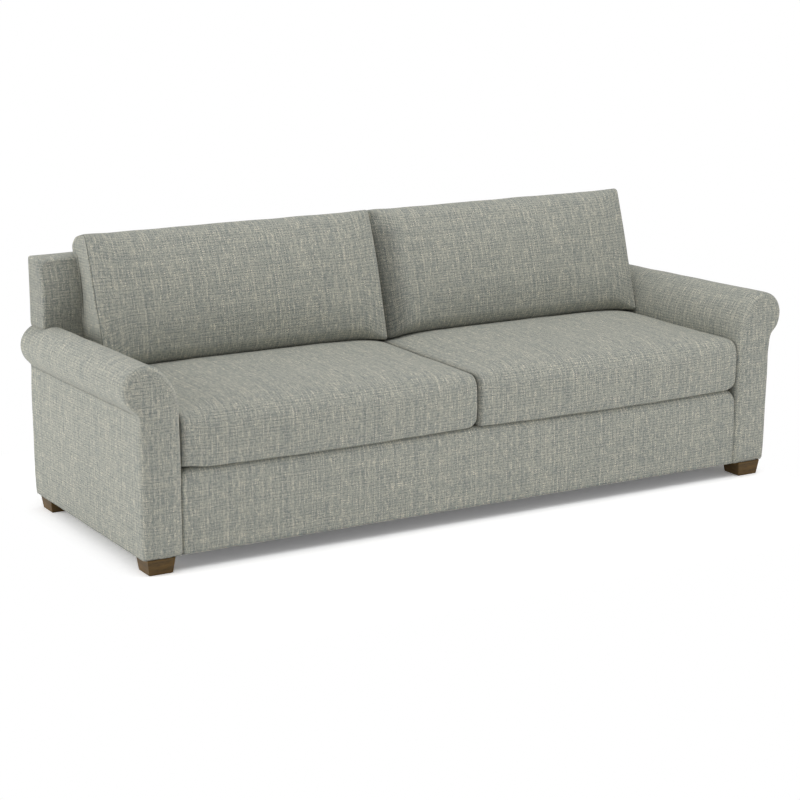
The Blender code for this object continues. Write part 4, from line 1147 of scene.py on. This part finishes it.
def build_zip(label, lean):
    """Zip with its two tapes, teeth, stitches, slider and pull. label is such as seat_left."""
    place, side = label.split("_")
    tape, half = zip_frame(label, lean)
    tall = TAPE_TALL / 4
    for up in (-tall, tall):
        tape.loft(rounded_box(0.0, up, TAPE_OUT, half, tall - 0.0002, TAPE_THICK / 2, 0.0003))
    strip = tape.finish(f"zip_tape_cloth_{label}", ZIP_TAPE)
    tie(strip, f"{place}_cushion_{side}", "zip_tape", f"zip_tape_{label}")

    coil, half = zip_frame(label, lean)
    for i, x in enumerate(zip_row(2 * half - 0.012, COIL_PITCH)):
        shift = COIL_SHIFT if i % 2 else -COIL_SHIFT
        tooth = (COIL_PITCH * 0.36, COIL_TALL / 2, COIL_THICK / 2)
        coil.loft(rounded_box(x, shift, COIL_OUT, *tooth, 0.0003, 1))
    for up in (-STITCH_ROW, STITCH_ROW):
        for x in zip_row(2 * half - 0.008, STITCH_PITCH):
            stitch = (STITCH_LONG / 2, STITCH_TALL / 2, STITCH_THICK / 2)
            coil.loft(rounded_box(x, up, STITCH_OUT, *stitch, 0.0002, 1))
    tie(coil.finish(f"zip_coil_{label}", NYLON), f"{place}_cushion_{side}", "zip_tape")

    low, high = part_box(f"zip_slider_{label}")
    slider, _ = zip_frame(label, lean)
    slider.middle.x = (low.x + high.x) / 2
    body = (SLIDER_WIDE / 2, SLIDER_TALL / 2, SLIDER_THICK / 2)
    slider.loft(rounded_box(0.0, 0.0, SLIDER_OUT, *body, 0.0009))
    for up in (-BRIDGE_FOOT, BRIDGE_FOOT):
        slider.loft(rounded_box(0.0, up, BRIDGE_OUT - 0.0005, 0.0011, 0.0008, 0.0006, 0.0003))
    slider.loft(rounded_box(0.0, 0.0, BRIDGE_OUT, 0.0011, 0.0040, 0.0004, 0.0003))
    foot = PULL_TOP - PULL_LONG
    outer, hole = [], []
    for i in range(PULL_POINTS):
        turn = 2 * math.pi * i / PULL_POINTS
        x, z = math.cos(turn), math.sin(turn)
        outer.append((PULL_WIDE / 2 * math.copysign(abs(x) ** 0.35, x),
                      (PULL_TOP + foot) / 2 + PULL_LONG / 2 * math.copysign(abs(z) ** 0.35, z)))
        hole.append((PULL_HOLE[0] * x, foot + PULL_HOLE_RISE + PULL_HOLE[1] * z))
    rear = PULL_OUT - PULL_THICK
    edges = ((outer, PULL_OUT), (outer, rear), (hole, rear), (hole, PULL_OUT))
    slider.loft([[(x, up, out) for x, up in loop] for loop, out in edges], ring=True)
    pull = slider.finish(f"zip_pull_{label}", ZINC)
    tie(pull, f"zip_slider_{label}", "zinc_steel", f"zip_slider_{label}")


# Legs and underside

DUST_GRID = (104, 42)
DUST_SAG = 0.0022
DUST_PUCKER = 0.0006
DUST_THICKNESS = 0.0004
DUST_HEM = 0.0004
STAPLE_PITCH = 0.07
LEG_BEVEL = 0.0022


def build_dust_cloth():
    """Black cloth stretched under the frame, slack between its staples, with a doubled hem."""
    low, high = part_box("dust_cloth")
    wide, deep = high.x - low.x, high.y - low.y
    columns, rows = DUST_GRID
    a, b = np.meshgrid(2 * np.arange(columns + 1) / columns - 1, 2 * np.arange(rows + 1) / rows - 1)
    x, y = (low.x + high.x) / 2 + wide / 2 * a, (low.y + high.y) / 2 + deep / 2 * b
    sag = DUST_SAG * (1 - a**8) * (1 - b**4) * (0.75 + 0.25 * np.cos(5 * x) * np.cos(9 * y))
    edge = np.minimum(wide / 2 * (1 - np.abs(a)), deep / 2 * (1 - np.abs(b)))
    pull = DUST_PUCKER * np.exp(-edge / 0.03) * np.abs(np.cos(2 * math.pi * (x + y) / STAPLE_PITCH))
    top = high.z - sag - pull
    foot = top - DUST_THICKNESS - DUST_HEM * smooth(0.024, 0.018, edge)
    points = [point for z in (top, foot) for point in zip(x.flat, y.flat, z.flat)]
    grid = np.arange(x.size).reshape(x.shape)
    upper = np.stack([grid[:-1, :-1], grid[:-1, 1:], grid[1:, 1:], grid[1:, :-1]], -1).reshape(-1, 4)
    both = np.stack([upper, x.size + upper[:, [0, 3, 2, 1]]], 1).reshape(-1, 4)
    rim = np.concatenate([grid[0, :-1], grid[:-1, -1], grid[-1, :0:-1], grid[:0:-1, 0]])
    after = np.roll(rim, -1)
    sides = np.stack([rim, x.size + rim, x.size + after, after], -1)
    faces = np.concatenate([both, sides]).tolist()
    sheet = mesh_object("dust_cloth_sheet", points, faces, DUST_CLOTH)
    tie(sheet, "frame", "dust_cloth", "dust_cloth")

    staples = Solid((0.0, 0.0, low.z), math.pi / 2)
    count = int(wide / STAPLE_PITCH)
    for y in (low.y + 0.010, high.y - 0.010):
        for i in range(count + 1):
            x = low.x + 0.02 + (wide - 0.04) * i / count
            staples.loft(rounded_box(x, y, 0.0004, 0.005, 0.0005, 0.0005, 0.0003, 1))
    tie(staples.finish("dust_cloth_staples", STEEL), "frame", "spring_steel")


def build_leg(label):
    """Block leg, narrower at its foot, with softened edges."""
    low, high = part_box(f"leg_{label}")
    bm = bmesh.new()
    bmesh.ops.create_cube(bm, size=1.0)
    taper = LEG_FOOT_WIDTH / LEG_TOP_WIDTH
    for vert in bm.verts:
        share = taper if vert.co.z < 0 else 1.0
        vert.co = Vector((vert.co.x * LEG_TOP_WIDTH * share, vert.co.y * LEG_TOP_WIDTH * share,
                          vert.co.z * (high.z - low.z)))
    bmesh.ops.bevel(bm, geom=bm.edges[:], offset=LEG_BEVEL, segments=3, profile=0.5, affect="EDGES")
    mesh = bpy.data.meshes.new(f"leg_block_{label}")
    bm.to_mesh(mesh)
    bm.free()
    mesh.materials.append(LEG_WOOD)
    leg = add_object(f"leg_block_{label}", mesh)
    leg.location = (low + high) / 2
    tie(leg, "frame", "leg_wood", f"leg_{label}")


def dress_cad_nodes():
    """Gives the solids that stay their materials, by a word in their names."""
    finishes = {
        "rail": TIMBER, "post": TIMBER, "beam": TIMBER, "board": PLY, "springs": STEEL, "bolt": ZINC,
    }
    for name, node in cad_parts.items():
        for word, finish in finishes.items():
            if word in name:
                node.data.materials.clear()
                node.data.materials.append(finish)


for side, label in ((-1, "left"), (1, "right")):
    build_arm(side, label)
    build_seat_cushion(side, label)
    build_back_cushion(side, label)
    build_zip(f"seat_{label}", 0.0)
    build_zip(f"back_{label}", BACK_LEAN)
    for end in ("front", "back"):
        build_leg(f"{end}_{label}")
build_back()
build_front_rail()
build_deck()
build_dust_cloth()
dress_cad_nodes()


# Room, light and camera

WORLD_LIGHT = 0.42
# The floor as it lights the sofa, and as the camera sees it, white outside the sofa's shadow
FLOOR_TONE = 0.92
FLOOR_SEEN = 1.40
FLOOR_GLOW = 0.12
FLOOR_RADIUS = 40.0
# Distances from the sofa between which the seen floor turns plain white
FLOOR_BESIDE = (-0.06, 0.06)
FLOOR_BEFORE = (0.20, 0.70)
# The camera as fitted to the photograph, whose focal length is in pixels of an image of this width
CAMERA_PLACE = (-3.6059, -6.0964, 2.0046)
CAMERA_TURN = 30.3376
CAMERA_TILT = 13.4521
FOCAL_PIXELS = 2184.46
IMAGE_WIDTH = 800
SENSOR_WIDTH = 36.0


def build_floor():
    """Pale floor that keeps the sofa's shadow."""
    bm = bmesh.new()
    bmesh.ops.create_circle(bm, cap_ends=True, radius=FLOOR_RADIUS, segments=96)
    mesh = bpy.data.meshes.new("studio_floor")
    bm.to_mesh(mesh)
    bm.free()
    floor = add_object("studio_floor", mesh)
    n = Nodes(bpy.data.materials.new("pale_floor"))
    n.tree.nodes.clear()
    path = n.node("ShaderNodeLightPath")
    seen = n.math("MAXIMUM", path.outputs["Is Camera Ray"], path.outputs["Is Glossy Ray"])
    place = n.node("ShaderNodeSeparateXYZ", {0: n.place()})
    far = []
    for axis, half, (start, end) in ((0, SIDE_HALF, FLOOR_BESIDE), (1, DEPTH / 2, FLOOR_BEFORE)):
        distance = n.math("SUBTRACT", n.math("ABSOLUTE", place.outputs[axis]), half)
        edge = n.node("ShaderNodeMapRange", {"Value": distance, "From Min": start, "From Max": end})
        far.append(edge.outputs[0])
    away = n.math("MAXIMUM", *far)
    tone = n.math("MULTIPLY_ADD", seen, FLOOR_SEEN - FLOOR_TONE, FLOOR_TONE)
    matte = n.node("ShaderNodeBsdfDiffuse", {"Color": tone}).outputs[0]
    glow = n.node("ShaderNodeEmission", {"Strength": n.math("MULTIPLY", seen, FLOOR_GLOW)}).outputs[0]
    near = n.node("ShaderNodeAddShader", {0: matte, 1: glow}).outputs[0]
    white = n.node("ShaderNodeEmission").outputs[0]
    mixed = n.node("ShaderNodeMixShader", {0: n.math("MULTIPLY", away, seen), 1: near, 2: white})
    n.node("ShaderNodeOutputMaterial", {"Surface": mixed.outputs[0]})
    mesh.materials.append(n.owner)


def build_world():
    """Even light, which the camera sees as plain white."""
    world = bpy.data.worlds.new("studio")
    bpy.context.scene.world = world
    n = Nodes(world)
    n.tree.nodes.clear()
    path = n.node("ShaderNodeLightPath")
    seen = n.math("MAXIMUM", path.outputs["Is Camera Ray"], path.outputs["Is Transmission Ray"])
    lit, white = [n.node("ShaderNodeBackground", {"Color": (1.0, 1.0, 1.0), "Strength": strength}).outputs[0]
                  for strength in (WORLD_LIGHT, 1.0)]
    mixed = n.node("ShaderNodeMixShader", {0: seen, 1: lit, 2: white})
    n.node("ShaderNodeOutputWorld", {"Surface": mixed.outputs[0]})


def add_area_light(name, place, target, size, power, depth=None):
    data = bpy.data.lights.new(name, "AREA")
    data.shape = "RECTANGLE"
    data.size = size
    data.size_y = depth or size
    data.energy = power
    lamp = add_object(name, data)
    lamp.location = place
    aim = Vector(target) - Vector(place)
    lamp.rotation_euler = aim.to_track_quat("-Z", "Y").to_euler()
    lamp.visible_camera = False


build_floor()
build_world()
add_area_light("left_light", (-5.5, 1.2, 1.3), (0.0, 0.0, 0.4), 3.0, 122.0)
add_area_light("top_light", (0.6, -1.0, 6.0), (0.0, 0.0, 0.4), 5.0, 180.0)
add_area_light("right_light", (3.5, -5.5, 1.2), (0.0, 0.0, 0.4), 3.0, 26.0)
add_area_light("low_light", (0.5, -1.45, 0.03), (0.5, -0.43, 0.5), 3.2, 4.2, 0.8)

camera_data = bpy.data.cameras.new("camera")
camera_data.sensor_width = SENSOR_WIDTH
camera_data.lens = FOCAL_PIXELS * SENSOR_WIDTH / IMAGE_WIDTH
camera = add_object("camera", camera_data)
camera.location = CAMERA_PLACE
camera.rotation_euler = (math.radians(90 - CAMERA_TILT), 0, math.radians(-CAMERA_TURN))
bpy.context.scene.camera = camera
bpy.context.scene.view_settings.view_transform = "Standard"
